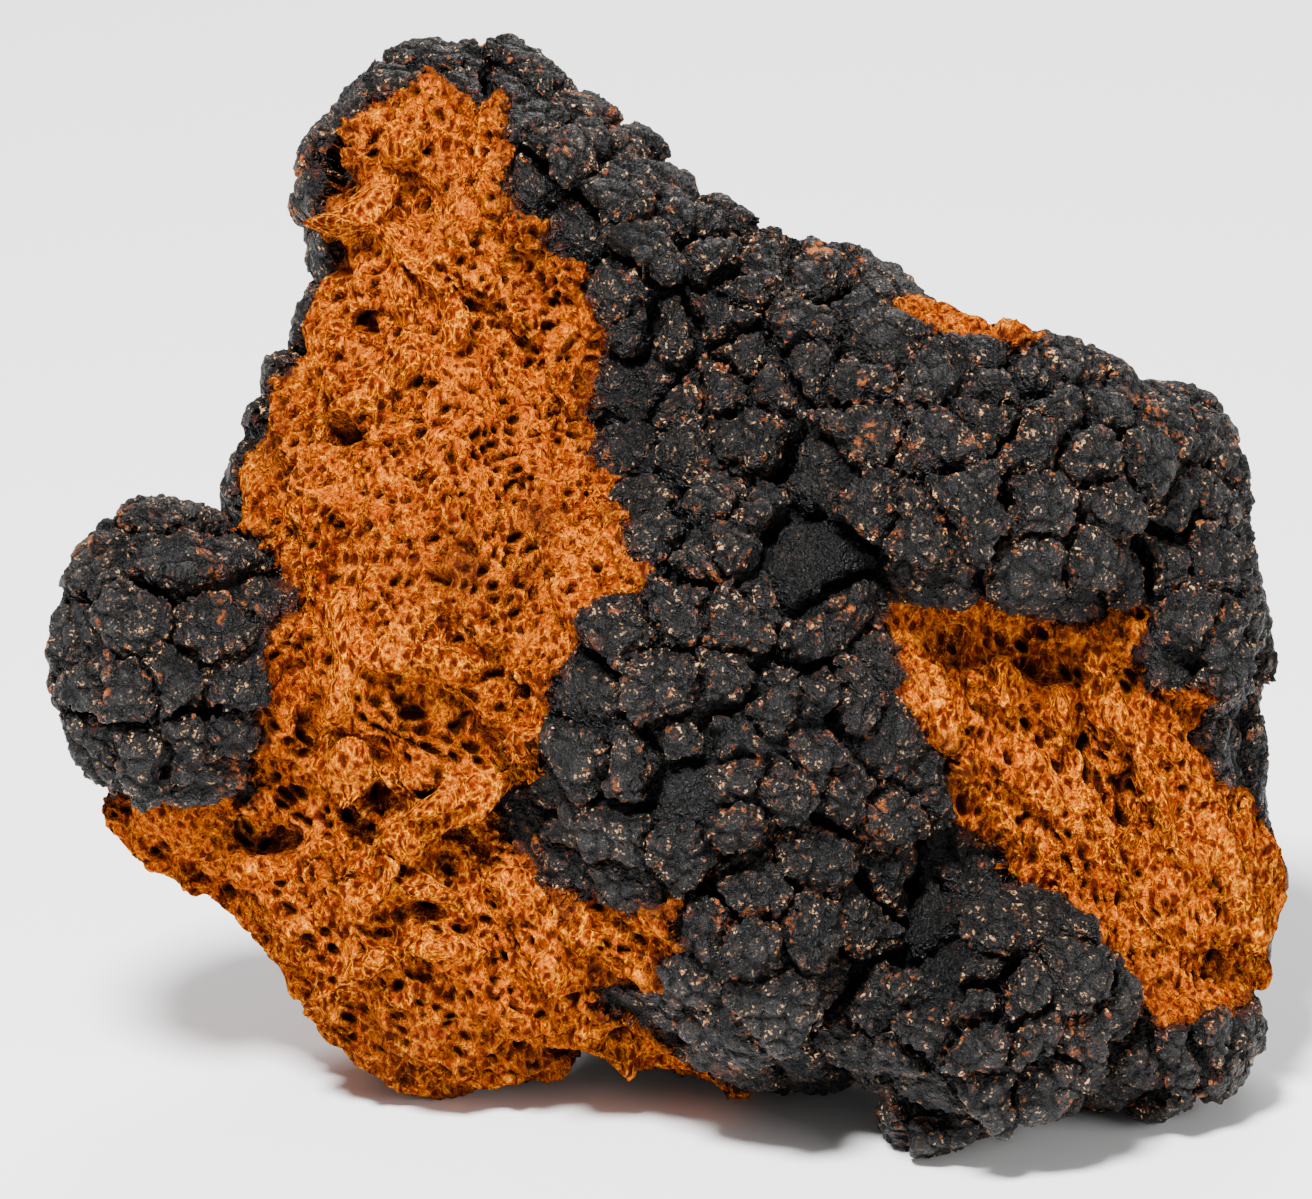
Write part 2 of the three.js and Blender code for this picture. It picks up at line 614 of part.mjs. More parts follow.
// Crust or flesh by the nearest site, for the colours
function colourAt(point) {
  return nearestSite(sites, point, ['plate', 'spot']).site.kind === 'plate' ? CRUST_COLOUR : FLESH_COLOUR;
}

function sketchPoint(x, y, z) {
  const lean = THREE.MathUtils.degToRad(LEAN_DEG);
  const up = y * Math.sin(lean) + z * Math.cos(lean);
  const near = z * Math.sin(lean) - y * Math.cos(lean);
  return new THREE.Vector3(x + SKETCH_MIDDLE.x, SKETCH_MIDDLE.y - up, near);
}

const shape = rested.getMesh();
const geometry = new THREE.BufferGeometry();
geometry.setAttribute('position', new THREE.BufferAttribute(new Float32Array(shape.vertProperties), 3));
geometry.setIndex(new THREE.BufferAttribute(new Uint32Array(shape.triVerts), 1));
const colours = [];
const places = geometry.attributes.position;
for (let index = 0; index < places.count; index += 1) {
  const colour = colourAt(sketchPoint(places.getX(index), places.getY(index), places.getZ(index)));
  colours.push(colour.r, colour.g, colour.b);
}
geometry.setAttribute('color', new THREE.Float32BufferAttribute(colours, 3));
geometry.computeBoundingBox();
const middle = geometry.boundingBox.getCenter(new THREE.Vector3());
geometry.translate(-middle.x, -middle.y, -geometry.boundingBox.min.z);
geometry.computeVertexNormals();

const material = new THREE.MeshStandardMaterial({
  color: 0xffffff,
  vertexColors: true,
  flatShading: true,
  roughness: 0.85,
  metalness: 0,
});
const conk = new THREE.Mesh(geometry, material);
conk.name = 'chaga_conk';

const model = new THREE.Group();
model.add(conk);

export default model;
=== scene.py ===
import math

import bpy
import numpy as np
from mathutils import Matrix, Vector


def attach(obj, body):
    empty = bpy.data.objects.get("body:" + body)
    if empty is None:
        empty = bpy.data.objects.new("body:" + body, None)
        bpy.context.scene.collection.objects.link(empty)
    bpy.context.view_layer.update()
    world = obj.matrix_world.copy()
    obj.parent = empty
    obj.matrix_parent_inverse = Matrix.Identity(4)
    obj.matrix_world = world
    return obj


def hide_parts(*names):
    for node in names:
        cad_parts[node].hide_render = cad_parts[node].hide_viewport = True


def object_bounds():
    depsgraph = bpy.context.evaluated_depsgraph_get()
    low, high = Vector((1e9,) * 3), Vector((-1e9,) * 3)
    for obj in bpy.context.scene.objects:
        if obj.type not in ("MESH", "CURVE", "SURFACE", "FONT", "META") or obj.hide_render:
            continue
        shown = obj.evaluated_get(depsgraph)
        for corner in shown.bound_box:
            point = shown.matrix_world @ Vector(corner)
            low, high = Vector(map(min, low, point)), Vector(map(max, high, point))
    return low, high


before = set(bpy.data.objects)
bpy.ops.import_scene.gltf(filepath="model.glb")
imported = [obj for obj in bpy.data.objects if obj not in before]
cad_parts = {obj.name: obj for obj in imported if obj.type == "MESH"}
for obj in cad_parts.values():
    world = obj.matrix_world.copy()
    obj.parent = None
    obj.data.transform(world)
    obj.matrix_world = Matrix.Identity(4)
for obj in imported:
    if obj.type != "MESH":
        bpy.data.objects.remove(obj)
cad_low, cad_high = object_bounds()

# Sketch measures are in mm as the chunk is seen from its front, a little from
# above: x from its left edge, y down from its top, t towards the viewer.

# Overall stance
LEAN = math.radians(19)
SKETCH_MIDDLE = (66, 60)
REST_HEIGHT = -47.6

# Crust and flesh
BLEND = 6
CARVE_BLEND = 4
PLATE_CAP = 1.2
PLATE_TILT = 0.1
NARROW_CRACK = (0.55, 1.5)
WIDE_CRACK = (1.5, 3.5)
RIM_WEAR = 1.0
PLATE_ROUNDING = (1.1, 2.8)
HIDDEN_CRACK_SHARE = 0.45
HIDDEN_PLATE_SPACING = 9.4
HIDDEN_BLOCK_SIZE = 22
HIDDEN_TRIES = 1500
FOLD_HEIGHT = 0.8
KNOT_HEIGHT = 0.9

# Fineness of the surface, in mm
FRONT_STEP = 0.365
BACK_STEP = 0.8
SEAM_AT = -6.5
PIECE_LIMIT = 172000

# Rounded lumps that the chunk grew from: middle, half sizes and roll
LUMPS = [
    ("upper limb", (43, 31, -6), (13, 25, 15), 10),
    ("upper shoulder", (35, 16, -6), (6, 7, 8), 20),
    ("crown", (42, 10.5, -5), (7, 6.5, 8), 0),
    ("left flank", (35, 45, -6), (11, 17, 14), 22),
    ("ridge", (63.5, 28.5, -1), (11, 27, 15), -42),
    ("saddle", (80, 37.5, -3), (17, 14, 16), 25),
    ("core left", (44, 60, -3), (21, 29, 23), 8),
    ("core middle", (76, 66, -2), (30, 35, 28), 0),
    ("right", (101, 64, -7), (25, 26, 24), 0),
    ("shelf", (97, 44, 10), (22, 12.5, 14), 14),
    ("shelf lip", (95, 52, 18), (15, 7, 10), 12),
    ("right knob", (115, 47, -2), (9, 8.5, 11), 20),
    ("right brow", (117, 60, 6), (8, 9, 9), 0),
    ("right low", (110, 87, -5), (18, 20, 17), 0),
    ("low middle", (68, 88, 0), (24, 17.5, 20), 0),
    ("low belly", (78, 99, 3), (13, 9.5, 12), 0),
    ("low left", (37, 88, -4), (12, 24, 16), -52),
    ("low heel", (43, 100.3, -3), (12, 8, 11), 0),
    ("low right", (114.5, 103.2, 6), (10.5, 6.6, 9), 0),
    ("back foot", (71, 92.8, -23.5), (14, 9, 9.5), 0),
    ("front", (69, 70, 20), (16, 22, 12), 0),
    ("low front", (75, 94, 19), (9, 9, 8), 0),
    ("low tongue", (16, 82, -3), (7, 4, 8), 20),
    ("neck", (28, 69, 2), (10, 10, 11), 0),
    ("left lobe", (16, 65.5, 9), (11, 14.5, 12), 0),
    ("base lobe", (97.5, 99, 16), (13.5, 11.5, 12), 0),
    ("tip", (93, 107, 10), (6, 7, 7), 0),
]

# Hollows that broke or rotted out of it
HOLLOWS = [
    ("top hollow", (38, 17, 12), (6.5, 9, 8), 15),
    ("pocket", (42, 68, 26), (8, 8, 8), 10),
    ("fold gap", (39, 79, 22), (7, 3.5, 10), 20),
    ("under the neck", (25, 84, 16), (9, 4, 9), -20),
    ("left pit", (36, 31, 15), (5, 5, 6), 0),
    ("scoop", (108, 76, 29), (16, 19, 17), -25),
    ("low gap", (88.5, 91, 32), (3, 13, 12), 41),
    ("low fold", (73, 85, 31), (8, 1.8, 9), -30),
    ("under the shelf", (98, 63.5, 25), (13, 4, 10), 8),
    ("undercut", (48, 112, 24), (22, 11, 18), 0),
    ("ridge groove", (55, 22, 19), (2.5, 11, 9), -42),
    ("shelf groove", (70, 46, 27), (10, 2, 8), 0),
]

# Crust plates seen from the front, in the blocks that wide cracks part: x, y, lift
PLATE_BLOCKS = {
    "topRidge": [(53.2, 6.3, 1.5), (58.5, 9.2, 1), (50.8, 10.8, 0.5), (55.5, 14.5, 1.5), (63, 12.5, 1),
        (66.3, 16, 0.5), (61, 18.5, 1), (64, 23.8, 1), (68.5, 20.5, 0.5), (49, 6.8, 0)],
    "ridgeSlab": [(51.8, 17.8, 0.5), (56.5, 22.5, 0.8), (60.8, 28, 0.8), (61.8, 33, 0)],
    "saddleNodules": [(72.5, 20, 1), (76.3, 22.3, 0.5)],
    "saddleBlock": [(70.8, 24.3, 1), (76.3, 26, 0.5), (80.3, 26.8, 0.5)],
    "middleBlock": [(73.8, 27.8, 1.5), (79.2, 31.2, 1.5), (71.5, 31, 1), (79.8, 35.8, 0)],
    "middleLeft": [(66, 33.2, 1), (63.6, 37.6, -0.5), (61, 38, -0.5)],
    "dome": [(73.6, 34.6, 1.5), (76, 37.8, 1), (71.2, 38, 1.5), (73.5, 42.2, 1), (67.3, 39.5, 1),
        (67, 43.8, 0.3), (61, 43, 0.3)],
    "shelfLeft": [(84.6, 29.3, 0.3), (87, 33.8, 1), (84.8, 37.6, 1.5), (85, 42.3, 2), (81, 46.2, -1),
        (93.2, 43.6, 2), (94.8, 50, 2.5), (91, 52, 1.8), (85.4, 50.4, 1), (91.5, 56.6, 0.5),
        (92.2, 36.8, 1), (97.6, 37.8, 0.8), (96.6, 41.2, 0.8), (97, 34.3, 0.5)],
    "shelfRight": [(102.5, 44.2, 1.2), (103.2, 50, 1.5), (102.4, 56.3, 1.2), (107.6, 45, 1),
        (105.6, 39.8, 1), (109.6, 50.2, 1), (108.3, 54.6, 1), (112, 57, 1.2), (107.2, 59.6, 0.3)],
    "shelfCrest": [(102.2, 36.2, 0.3), (106, 36, 0.5), (109, 39, 0)],
    "rightKnob": [(112.4, 37.4, 0.5), (116, 40.6, 1), (121.5, 44.2, 1), (114.8, 45.6, 0.8),
        (121.6, 49, 0.8), (117.2, 49.8, 0.3)],
    "rightBrow": [(115.8, 55.4, 1), (120.6, 54.4, 1), (124.4, 54, 0), (117.6, 61, 1.5),
        (121.6, 63.2, 1.5), (115, 65.4, -0.5)],
    "rightRim": [(125, 61.4, 0.3), (123.6, 68.4, 0), (122.6, 73.8, 0), (126.6, 76.6, 0)],
    "centreTop": [(63.2, 48.6, 0.3), (64.7, 52.8, 0.8)],
    "centreUpper": [(70.4, 49, 0.8), (75, 50, 0.5), (72.6, 54, 1), (68.6, 54.6, 0.3)],
    "darkRecess": [(78.4, 52.8, -1), (78.2, 57.4, -1), (82.8, 55, -2.2)],
    "centreFace": [(60.8, 62, 1.5), (67.4, 59.8, 0.8), (72.2, 61, 1.8), (75.4, 58.4, 0.3),
        (65.6, 67.4, 2.2), (72, 67.2, 0.8), (67.6, 72.8, 0.3)],
    "centreLeft": [(57.4, 68, -0.3), (56.8, 74.2, 0.8), (62, 76.2, 1), (53.2, 77.6, 0)],
    "centreLow": [(71.8, 73, 0.8), (76.2, 69, 1), (80.8, 68.8, 0.8), (80.4, 74.2, 0.8),
        (67.4, 77.8, -1), (72.6, 76.8, 0.4), (77.4, 78.4, 1), (72.6, 81.6, 1), (67.2, 84.2, 0.6),
        (61, 82.8, 0.6), (55.2, 82.6, 0.2), (51.2, 81.6, -0.3), (55.6, 86, -0.3), (61.6, 88, -0.2)],
    "besideScoop": [(80.2, 62.6, 0.3), (84.4, 60.8, 0), (87.4, 64.6, 0.3), (84.4, 69.2, 0.8),
        (88, 73.4, 0.8), (92, 77, 0.8), (83.4, 78.6, 0.8), (88.6, 80.4, 1.4), (88.4, 86.6, 1)],
    "lowFace": [(74.8, 87.2, 0.8), (80.4, 84, 1), (79.8, 91.6, 1.5), (84.8, 90.6, 1.5),
        (82.2, 96.6, 0)],
    "lowLeftFace": [(74.2, 93.6, 1.2), (76.2, 98.8, 1.2), (70.6, 101.8, 1), (67.2, 97.2, 0.4),
        (63.8, 99.4, -0.2), (68.8, 92.6, 0)],
    "lowGap": [(91.6, 93.4, -1.5), (92.6, 87.6, -1.5), (96.4, 85.4, -0.5)],
    "bottomMiddle": [(85.6, 98.8, 0), (83.2, 103.6, 0.8), (78.4, 104.8, 0.2), (73, 106.2, 0.4),
        (80, 108.8, -0.5)],
    "bottomRight": [(111, 100.4, 0.6), (112.6, 105.8, 0.8), (117.2, 104.6, 0.6), (108.4, 106.2, 0.2),
        (110.6, 108.6, 0)],
    "cornerRight": [(121, 102.8, 0.4), (124.6, 102, 0.4), (122.2, 107.6, 0.4), (117, 110.6, 0.2)],
    "crownTip": [(41.6, 4.2, 0.6), (38.4, 6.2, 0.4), (46, 6.6, -0.3)],
    "crownLeft": [(32.6, 9.6, 0.4), (29.2, 12.2, 0.4)],
    "leftNodules": [(29.4, 19, 1), (30.6, 23.4, 1), (28.2, 30.6, 0.4)],
    "lowerLeftNodules": [(25.2, 37, 1), (23.4, 40.6, 1), (22.2, 44.6, 1)],
    "lobeTop": [(17, 50.8, 1.2), (8.8, 56, 1), (16, 55.8, 1.2), (22.8, 54.4, 0.6), (25.6, 58, 0.2)],
    "lobeMiddle": [(13.6, 60.8, 1.2), (6.4, 62.6, 0.6), (19.6, 62.6, 1.4), (22.2, 67.6, 1),
        (16.8, 67, 1.2), (12.6, 68.4, 1.2), (7.8, 67.6, 0.8)],
    "lobeLow": [(13.6, 74.4, 0.8), (18.2, 74, 1), (21.8, 73.2, 0.6), (8.6, 73.4, 0), (21.6, 77.4, 0)],
    "baseTop": [(97.4, 91.6, 1), (102.6, 90.4, 1.5), (96, 95.2, 0.6), (91.6, 93.4, 0)],
    "baseFace": [(96.2, 98.6, 1.2), (101, 97.8, 1.2), (105.6, 97.2, 1), (106.6, 102.4, 1),
        (96.8, 102.8, 1.5), (102.2, 102.2, 1.4), (91.2, 101.2, 1), (90.6, 97.2, 0.3),
        (97.4, 107.2, 1.2), (103.2, 106.4, 1)],
    "baseLeft": [(88, 104.2, 0.8), (85.6, 108, -0.5), (91.8, 108.4, -0.5), (87.8, 111.8, 0.2)],
    "baseTip": [(94, 113, 0.8), (99.4, 111.6, 0.4), (105.2, 110.4, 0.2)],
}

# Spots where the bare flesh shows from the front: x, y
FLESH_SPOTS = {
    "alongRidge": [(43.6, 9), (48, 10.6), (47.2, 14.2), (47.6, 19.6), (50.6, 23.4), (54, 27.6),
        (56.2, 31.8), (55.6, 37.6), (54.8, 42.6), (56.6, 48), (58.6, 53), (60, 56.4)],
    "alongCentre": [(55.4, 60.4), (52.4, 66.2), (51.4, 71.6), (48.6, 75.6), (46.4, 81.4), (49.6, 86.6),
        (54.6, 90.6), (60, 92.4), (64.4, 91.6), (62, 96), (60.6, 102.4), (65.4, 105.8), (69.6, 109.6)],
    "alongLeft": [(38.4, 10.4), (34, 14.4), (33.4, 20), (34.4, 26.4), (31.6, 33), (28.6, 38.6),
        (26.6, 45), (25.4, 50), (29.2, 54.2), (30.6, 59.6), (29.8, 66), (28.8, 71), (26.4, 77),
        (22.6, 81.2), (14, 81.6), (17.6, 86.4)],
    "tornFace": [(41, 16), (40.6, 24), (46, 28), (48, 36), (40, 34), (35, 42), (44, 44), (50, 50),
        (40, 52), (46, 60), (37, 61), (44, 68), (36, 70), (41, 77), (33, 80), (28, 86), (38, 87),
        (23, 91), (45, 92), (33, 96), (52, 96), (40, 100), (30, 101), (48, 104), (36, 106), (55, 105),
        (42, 108)],
    "scoopEdge": [(90.8, 62), (95.8, 64.6), (100.4, 63.8), (105.4, 64), (110.6, 62.6), (111, 68),
        (116, 71.4), (119.6, 78.4), (124.6, 82.6), (127, 88), (126.4, 94), (122.4, 98.4),
        (116.8, 98.6), (112, 95.2), (109, 91), (104.4, 85), (99.2, 81), (96.2, 75.6), (93.4, 70.6),
        (91.4, 66.6)],
    "scoopMiddle": [(102, 72), (108, 78), (114, 84), (118, 90), (104, 68)],
    "crest": [(93.4, 30.8), (98.2, 32.2)],
}

# Hidden sides where the flesh is bare too
BARE_SIDES = [
    ("low left behind", (28, 96, -14), 27),
    ("back scar", (92, 58, -33), 19),
]

# Torn ridges of the front flesh: points x, y that each runs through, half width, rise
FLESH_RIDGES = [
    ("torn lip", [(40, 13), (37, 18), (33.8, 21.2)], 1.1, 1.5),
    ("lip wedge", [(33.8, 21.6), (37.2, 20.8), (38.4, 23.4)], 1.3, 1.3),
    ("branching fold", [(38.2, 23.6), (40.8, 25.4), (43.2, 29), (44.6, 33.6)], 0.9, 1.5),
    ("branching fold left", [(37.4, 24), (38.8, 27.2), (39.2, 30.4)], 0.8, 1.1),
    ("pale fold", [(40.4, 31.2), (40, 35.8), (37.2, 39)], 1.2, 0.8),
    ("brow of the hole", [(30.6, 42.2), (33.8, 40.6), (38.6, 37.6)], 0.8, 1.1),
    ("pocket left", [(33.4, 60), (34, 66), (33, 71), (32.8, 75.2)], 1.3, 1.4),
    ("curled lip", [(32.8, 75.2), (34.6, 77.6), (36.8, 76), (39, 77), (40.4, 79.8)], 0.9, 1.8),
    ("curled lip right", [(40.4, 76.4), (43, 75.8), (44.8, 77.4), (42.6, 79.6)], 0.8, 1.4),
    ("cross ridge", [(53.4, 73), (48, 77.2), (43.6, 80.6), (40, 83.6)], 1.1, 1.5),
    ("knuckle", [(44.6, 77.6), (40.6, 81), (37.4, 84), (37.6, 87.8)], 0.9, 1.7),
    ("pocket top", [(36, 65.4), (41, 64.6), (46.6, 65.8)], 1.1, 0.8),
    ("arch", [(35.2, 89.6), (38, 87.6), (41.6, 87.6), (45.2, 90.4)], 0.9, 1.2),
    ("low arch", [(31, 100), (35, 95.4), (40.6, 93.2), (47, 94.4)], 1.2, 1.1),
    ("low right ridge", [(54, 95), (55.8, 99.4), (59.6, 103.2), (62, 105)], 1.0, 1.4),
    ("fibre run", [(45, 84.4), (51, 87.4), (57.6, 92.8)], 1.4, 0.7),
    ("scoop ridge one", [(104.8, 68.4), (106.4, 76), (109.8, 83.4)], 0.8, 1.2),
    ("scoop ridge two", [(108.6, 64.6), (110.8, 71.2), (114.4, 77.8), (116.8, 85)], 0.8, 1.4),
    ("scoop ridge three", [(109.8, 83.6), (112.8, 89.6), (116.2, 95)], 0.9, 1.1),
    ("scoop ridge four", [(115.4, 73), (119.6, 79.6), (122, 87), (124.8, 94)], 1.0, 1.1),
    ("scoop ridge five", [(99, 66), (100.6, 73), (104.4, 79)], 0.9, 0.7),
    ("scoop left bank", [(92, 67), (94, 73.6), (97.8, 79.4), (101.4, 84)], 1.1, 0.8),
]

# Pits and caves in that flesh: middle, half sizes and depth
FLESH_PITS = [
    ("top cave", (32.6, 15.6), (2.4, 4.2), 2.0),
    ("honeycomb cave", (42, 20), (2.0, 3.6), 1.5),
    ("under the fold", (36.6, 31.4), (2.2, 1.0), 1.8),
    ("beside the fold", (42, 31), (1.2, 2.0), 1.0),
    ("hole", (33.2, 42.6), (1.4, 1.0), 1.9),
    ("stained hole", (43, 57.4), (1.5, 1.0), 1.6),
    ("pocket", (41.4, 70.6), (5.2, 4.6), 0.9),
    ("left of the lip", (30.8, 73.4), (1.6, 3.6), 1.7),
    ("under the lip", (36.6, 79.6), (1.6, 1.6), 2.2),
    ("overhang", (25.4, 83.2), (3.2, 1.1), 2.0),
    ("heel cave", (31.6, 85.6), (2.6, 1.3), 1.9),
    ("under the arch", (41.4, 90), (2.8, 0.9), 1.6),
    ("round hole", (37.4, 92.8), (1.3, 1.0), 1.9),
    ("small hole", (51, 68.6), (0.8, 0.8), 1.5),
    ("right recess", (55.4, 98.4), (2.6, 1.1), 1.4),
    ("low recess", (57, 104), (3.2, 1.0), 1.2),
    ("scoop dark one", (107.4, 73.6), (0.9, 4.6), 1.3),
    ("scoop dark two", (111.8, 77), (0.9, 5.0), 1.3),
    ("scoop dark three", (103.4, 66), (1.8, 1.6), 1.2),
    ("scoop low cave", (108.6, 94.4), (3.0, 1.1), 1.4),
    ("scoop lower groove", (116.4, 82), (0.9, 4.0), 0.9),
]

# Purplish brown stains of that flesh, and painted shade in its hollows and caves, under the shelf and
# along its underside: middle, half sizes and strength
FLESH_STAINS_AND_SHADE = [
    ("stained knots", (47, 55.4), (7, 4.6), 0.9),
    ("dark knots", (52.4, 51.6), (2.6, 4.4), 1.0),
    ("top hollow", (32.4, 15.4), (3.4, 5), 0.7),
    ("honeycomb", (42.4, 18.4), (2.4, 4.4), 0.6),
    ("left bank", (26.4, 44), (2.6, 6), 0.7),
    ("ridge side", (53.4, 24.6), (3, 6), 0.4),
    ("right side", (58.4, 38), (2.4, 6), 0.5),
    ("underside", (36, 104), (15, 5), 0.55),
    ("low middle", (54, 106), (8, 4), 0.55),
    ("scoop rim", (124, 88), (3.4, 6), 0.45),
    ("scoop foot", (111, 97.6), (7, 2.6), 0.7),
    ("scoop roof", (104, 62.6), (10, 2.4), 0.45),
]

# How the fibres run round a few places: middle and lie
FIBRE_RUNS = [
    ("limb", (44, 40, 12), (0.82, -0.55, 0.15)),
    ("low", (46, 92, 14), (0.84, 0.5, -0.2)),
    ("scoop", (108, 78, 12), (0.38, 0.9, 0.2)),
]
HEART = np.array([70, 64, 0])
OUTER_RADIUS = 110
LINE_STEP = 1.6
MARK_NAMES = ("bare", "deep_shade", "high", "edge", "rim", "stain_and_shade", "tone")
CLOSING_STRIDE = 6
CLOSING_STEPS = (2, 4, 16)
GOLDEN_TURN = math.pi * (3 - math.sqrt(5))

# Colours of the crust and of the flesh, and how its fibres lie
CRUST_BLACK = (0.0028, 0.0026, 0.0027, 1)
CRUST_GREY = (0.0078, 0.0072, 0.0073, 1)
CRUST_WARM = (0.0085, 0.007, 0.0066, 1)
# Pale ash grain, laid on more thickly on raised tops as a painted highlight
CRUST_ASH_AND_HIGHLIGHT = (0.24, 0.185, 0.155, 1)
CRUST_TAN = (0.9, 0.5, 0.22, 1)
CRUST_RUST = (0.42, 0.09, 0.004, 1)
# Painted shade: near black laid into the cracks, hairlines and gaps between grains
CRACK_SHADE = (0.0008, 0.0008, 0.0008, 1)
FLESH_DEEP = (0.22, 0.023, 0.0003, 1)
FLESH_ORANGE = (0.45, 0.066, 0.0003, 1)
FLESH_GOLD = (0.72, 0.15, 0.0005, 1)
# Bright fibre strands, laid on more strongly on raised places as a painted highlight
FLESH_STRAND_AND_HIGHLIGHT = (0.98, 0.33, 0.005, 1)
FLESH_BROWN = (0.04, 0.0045, 0.0003, 1)
# Purplish brown of real stains and rims, also used as painted shade in hollows, under the shelf and
# along the underside
FLESH_STAIN_AND_SHADE = (0.05, 0.012, 0.006, 1)
# Painted shade: dark brown laid into pores, pits, caves and the low places between strands
PORE_AND_CAVE_SHADE = (0.008, 0.0012, 0.0003, 1)
FIBRE_TURN = (0.2, 0.55, 0.3)
FIBRE_STRETCH = (1, 1, 0.6)

# Light and view
VIEW_WIDTH = 0.1312
WORLD_STRENGTH = 0.3
LAMPS = [
    ("key", (-0.16, -0.42, 0.8), 0.2, 31),
    ("right fill", (0.7, -0.5, 0.35), 0.5, 4.5),
    ("back rim", (0.1, 0.6, 0.6), 0.4, 6),
]
TARGET = np.array([-0.00175, 0, 0.0499])


# Repeatable numbers from 0 to 1
def draw(seed):
    value = np.sin(seed) * 43758.5453
    return value - np.floor(value)


def smooth_min(a, b, blend):
    overlap = np.maximum(blend - np.abs(a - b), 0) / blend
    return np.minimum(a, b) - overlap * overlap * (blend * 0.25)


def smooth_max(a, b, blend):
    return -smooth_min(-a, -b, blend)


def unit(vectors):
    return vectors / (np.linalg.norm(vectors, axis=-1, keepdims=True) + 1e-9)


def lump_distance(points, middle, half, roll):
    turn = math.radians(roll)
    x = points[:, 0] - middle[0]
    y = points[:, 1] - middle[1]
    u = (math.cos(turn) * x + math.sin(turn) * y) / half[0]
    v = (math.cos(turn) * y - math.sin(turn) * x) / half[1]
    w = (points[:, 2] - middle[2]) / half[2]
    ratio = np.sqrt(u * u + v * v + w * w)
    slope = np.sqrt((u / half[0]) ** 2 + (v / half[1]) ** 2 + (w / half[2]) ** 2)
    return ratio * (ratio - 1) / np.maximum(slope, 1e-6)


# The smooth form: the lumps run together, less the hollows
def form(points):
    distance = np.full(len(points), 1000, points.dtype)
    for _, middle, half, roll in LUMPS:
        distance = smooth_min(distance, lump_distance(points, middle, half, roll), BLEND)
    for _, middle, half, roll in HOLLOWS:
        distance = smooth_max(distance, -lump_distance(points, middle, half, roll), CARVE_BLEND)
    return distance


def outward(points):
    slope = np.empty_like(points)
    for axis in range(3):
        ahead = points.copy()
        behind = points.copy()
        ahead[:, axis] += 0.4
        behind[:, axis] -= 0.4
        slope[:, axis] = form(ahead) - form(behind)
    return unit(slope)


# The point of the front that the viewer sees at x, y
def front_point(x, y):
    column = np.arange(45, -30, -0.25)
    points = np.stack([np.full_like(column, x), np.full_like(column, y), column], 1)
    distance = form(points)
    inside = np.flatnonzero(distance < 0)
    return points[inside[0]] if len(inside) else points[np.argmin(distance)]


# Lines of growth leave every lump outwards, and each meets the surface once
def growth(points):
    total = np.zeros_like(points)
    for _, middle, half, _ in LUMPS:
        strength = (half[0] * half[1] * half[2]) ** (1 / 3)
        away = points - np.array(middle)
        gap = np.linalg.norm(away, axis=1, keepdims=True) + 0.01
        total += strength * away / gap ** 3
    return unit(total)


def step_in(points, length):
    halfway = points - growth(points) * (length / 2)
    return points - growth(halfway) * length


# Where the line of growth from each direction comes in to the smooth form
def surface_points(directions):
    outer = HEART + directions * OUTER_RADIUS
    inner = outer.copy()
    height = form(inner)
    for _ in range(200):
        moving = height > 0
        if not moving.any():
            break
        outer[moving] = inner[moving]
        length = np.where(height[moving] > 12, 4, 1)[:, None] * LINE_STEP
        inner[moving] = step_in(outer[moving], length)
        height[moving] = form(inner[moving])
    for _ in range(11):
        half = (inner + outer) / 2
        over = (form(half) > 0)[:, None]
        outer = np.where(over, half, outer)
        inner = np.where(over, inner, half)
    return inner


# Plates and flesh spots of the front, then the hidden sides by rule
def place_sites():
    points, plate, block, lift = [], [], [], []
    for name, plates in PLATE_BLOCKS.items():
        for x, y, rise in plates:
            points.append(front_point(x, y))
            plate.append(True)
            block.append(name)
            lift.append(rise)
    for spots in FLESH_SPOTS.values():
        for x, y in spots:
            points.append(front_point(x, y))
            plate.append(False)
            block.append("flesh")
            lift.append(0)
    count = np.arange(HIDDEN_TRIES)
    height = 1 - (2 * count + 1) / HIDDEN_TRIES
    across = np.sqrt(1 - height * height)
    turn = count * GOLDEN_TURN
    even = np.stack([across * np.cos(turn), across * np.sin(turn), height], 1)
    tried = surface_points(even)
    facing = outward(tried)
    for index, point in enumerate(tried):
        gaps = np.linalg.norm(np.array(points) - point, axis=1)
        nearest = int(np.argmin(gaps))
        if gaps[nearest] < HIDDEN_PLATE_SPACING * (0.9 + 0.2 * draw(index)):
            continue
        bare = any(np.linalg.norm(point - at) < radius for _, at, radius in BARE_SIDES)
        is_plate = plate[nearest] if facing[index, 2] > 0.3 else not bare
        cell = np.round(point / HIDDEN_BLOCK_SIZE).astype(int)
        points.append(point)
        plate.append(is_plate)
        block.append("hidden %d %d %d" % tuple(cell) if is_plate else "flesh")
        lift.append(0.4 + 0.9 * draw(index + 0.5))
    names = sorted(set(block))
    return np.array(points), np.array(plate), np.array([names.index(b) for b in block]), np.array(lift)


SITES, IS_PLATE, BLOCK, LIFT = place_sites()
OUT = outward(SITES)
BLOCK_OUT = np.array([OUT[BLOCK == BLOCK[i]].sum(0) for i in range(len(SITES))])
TILTS = np.random.default_rng(5).uniform(-0.5, 0.5, SITES.shape)
UP = unit(OUT + unit(BLOCK_OUT) + 4 * PLATE_TILT * TILTS)
SITES32 = SITES.astype(np.float32)

# Cracks are narrower and shallower on sites that face away from the front
FACING = np.clip(OUT[:, 2] / 0.5, 0, 1)
CRACK_SHARE = (HIDDEN_CRACK_SHARE + (1 - HIDDEN_CRACK_SHARE) * FACING).astype(np.float32)


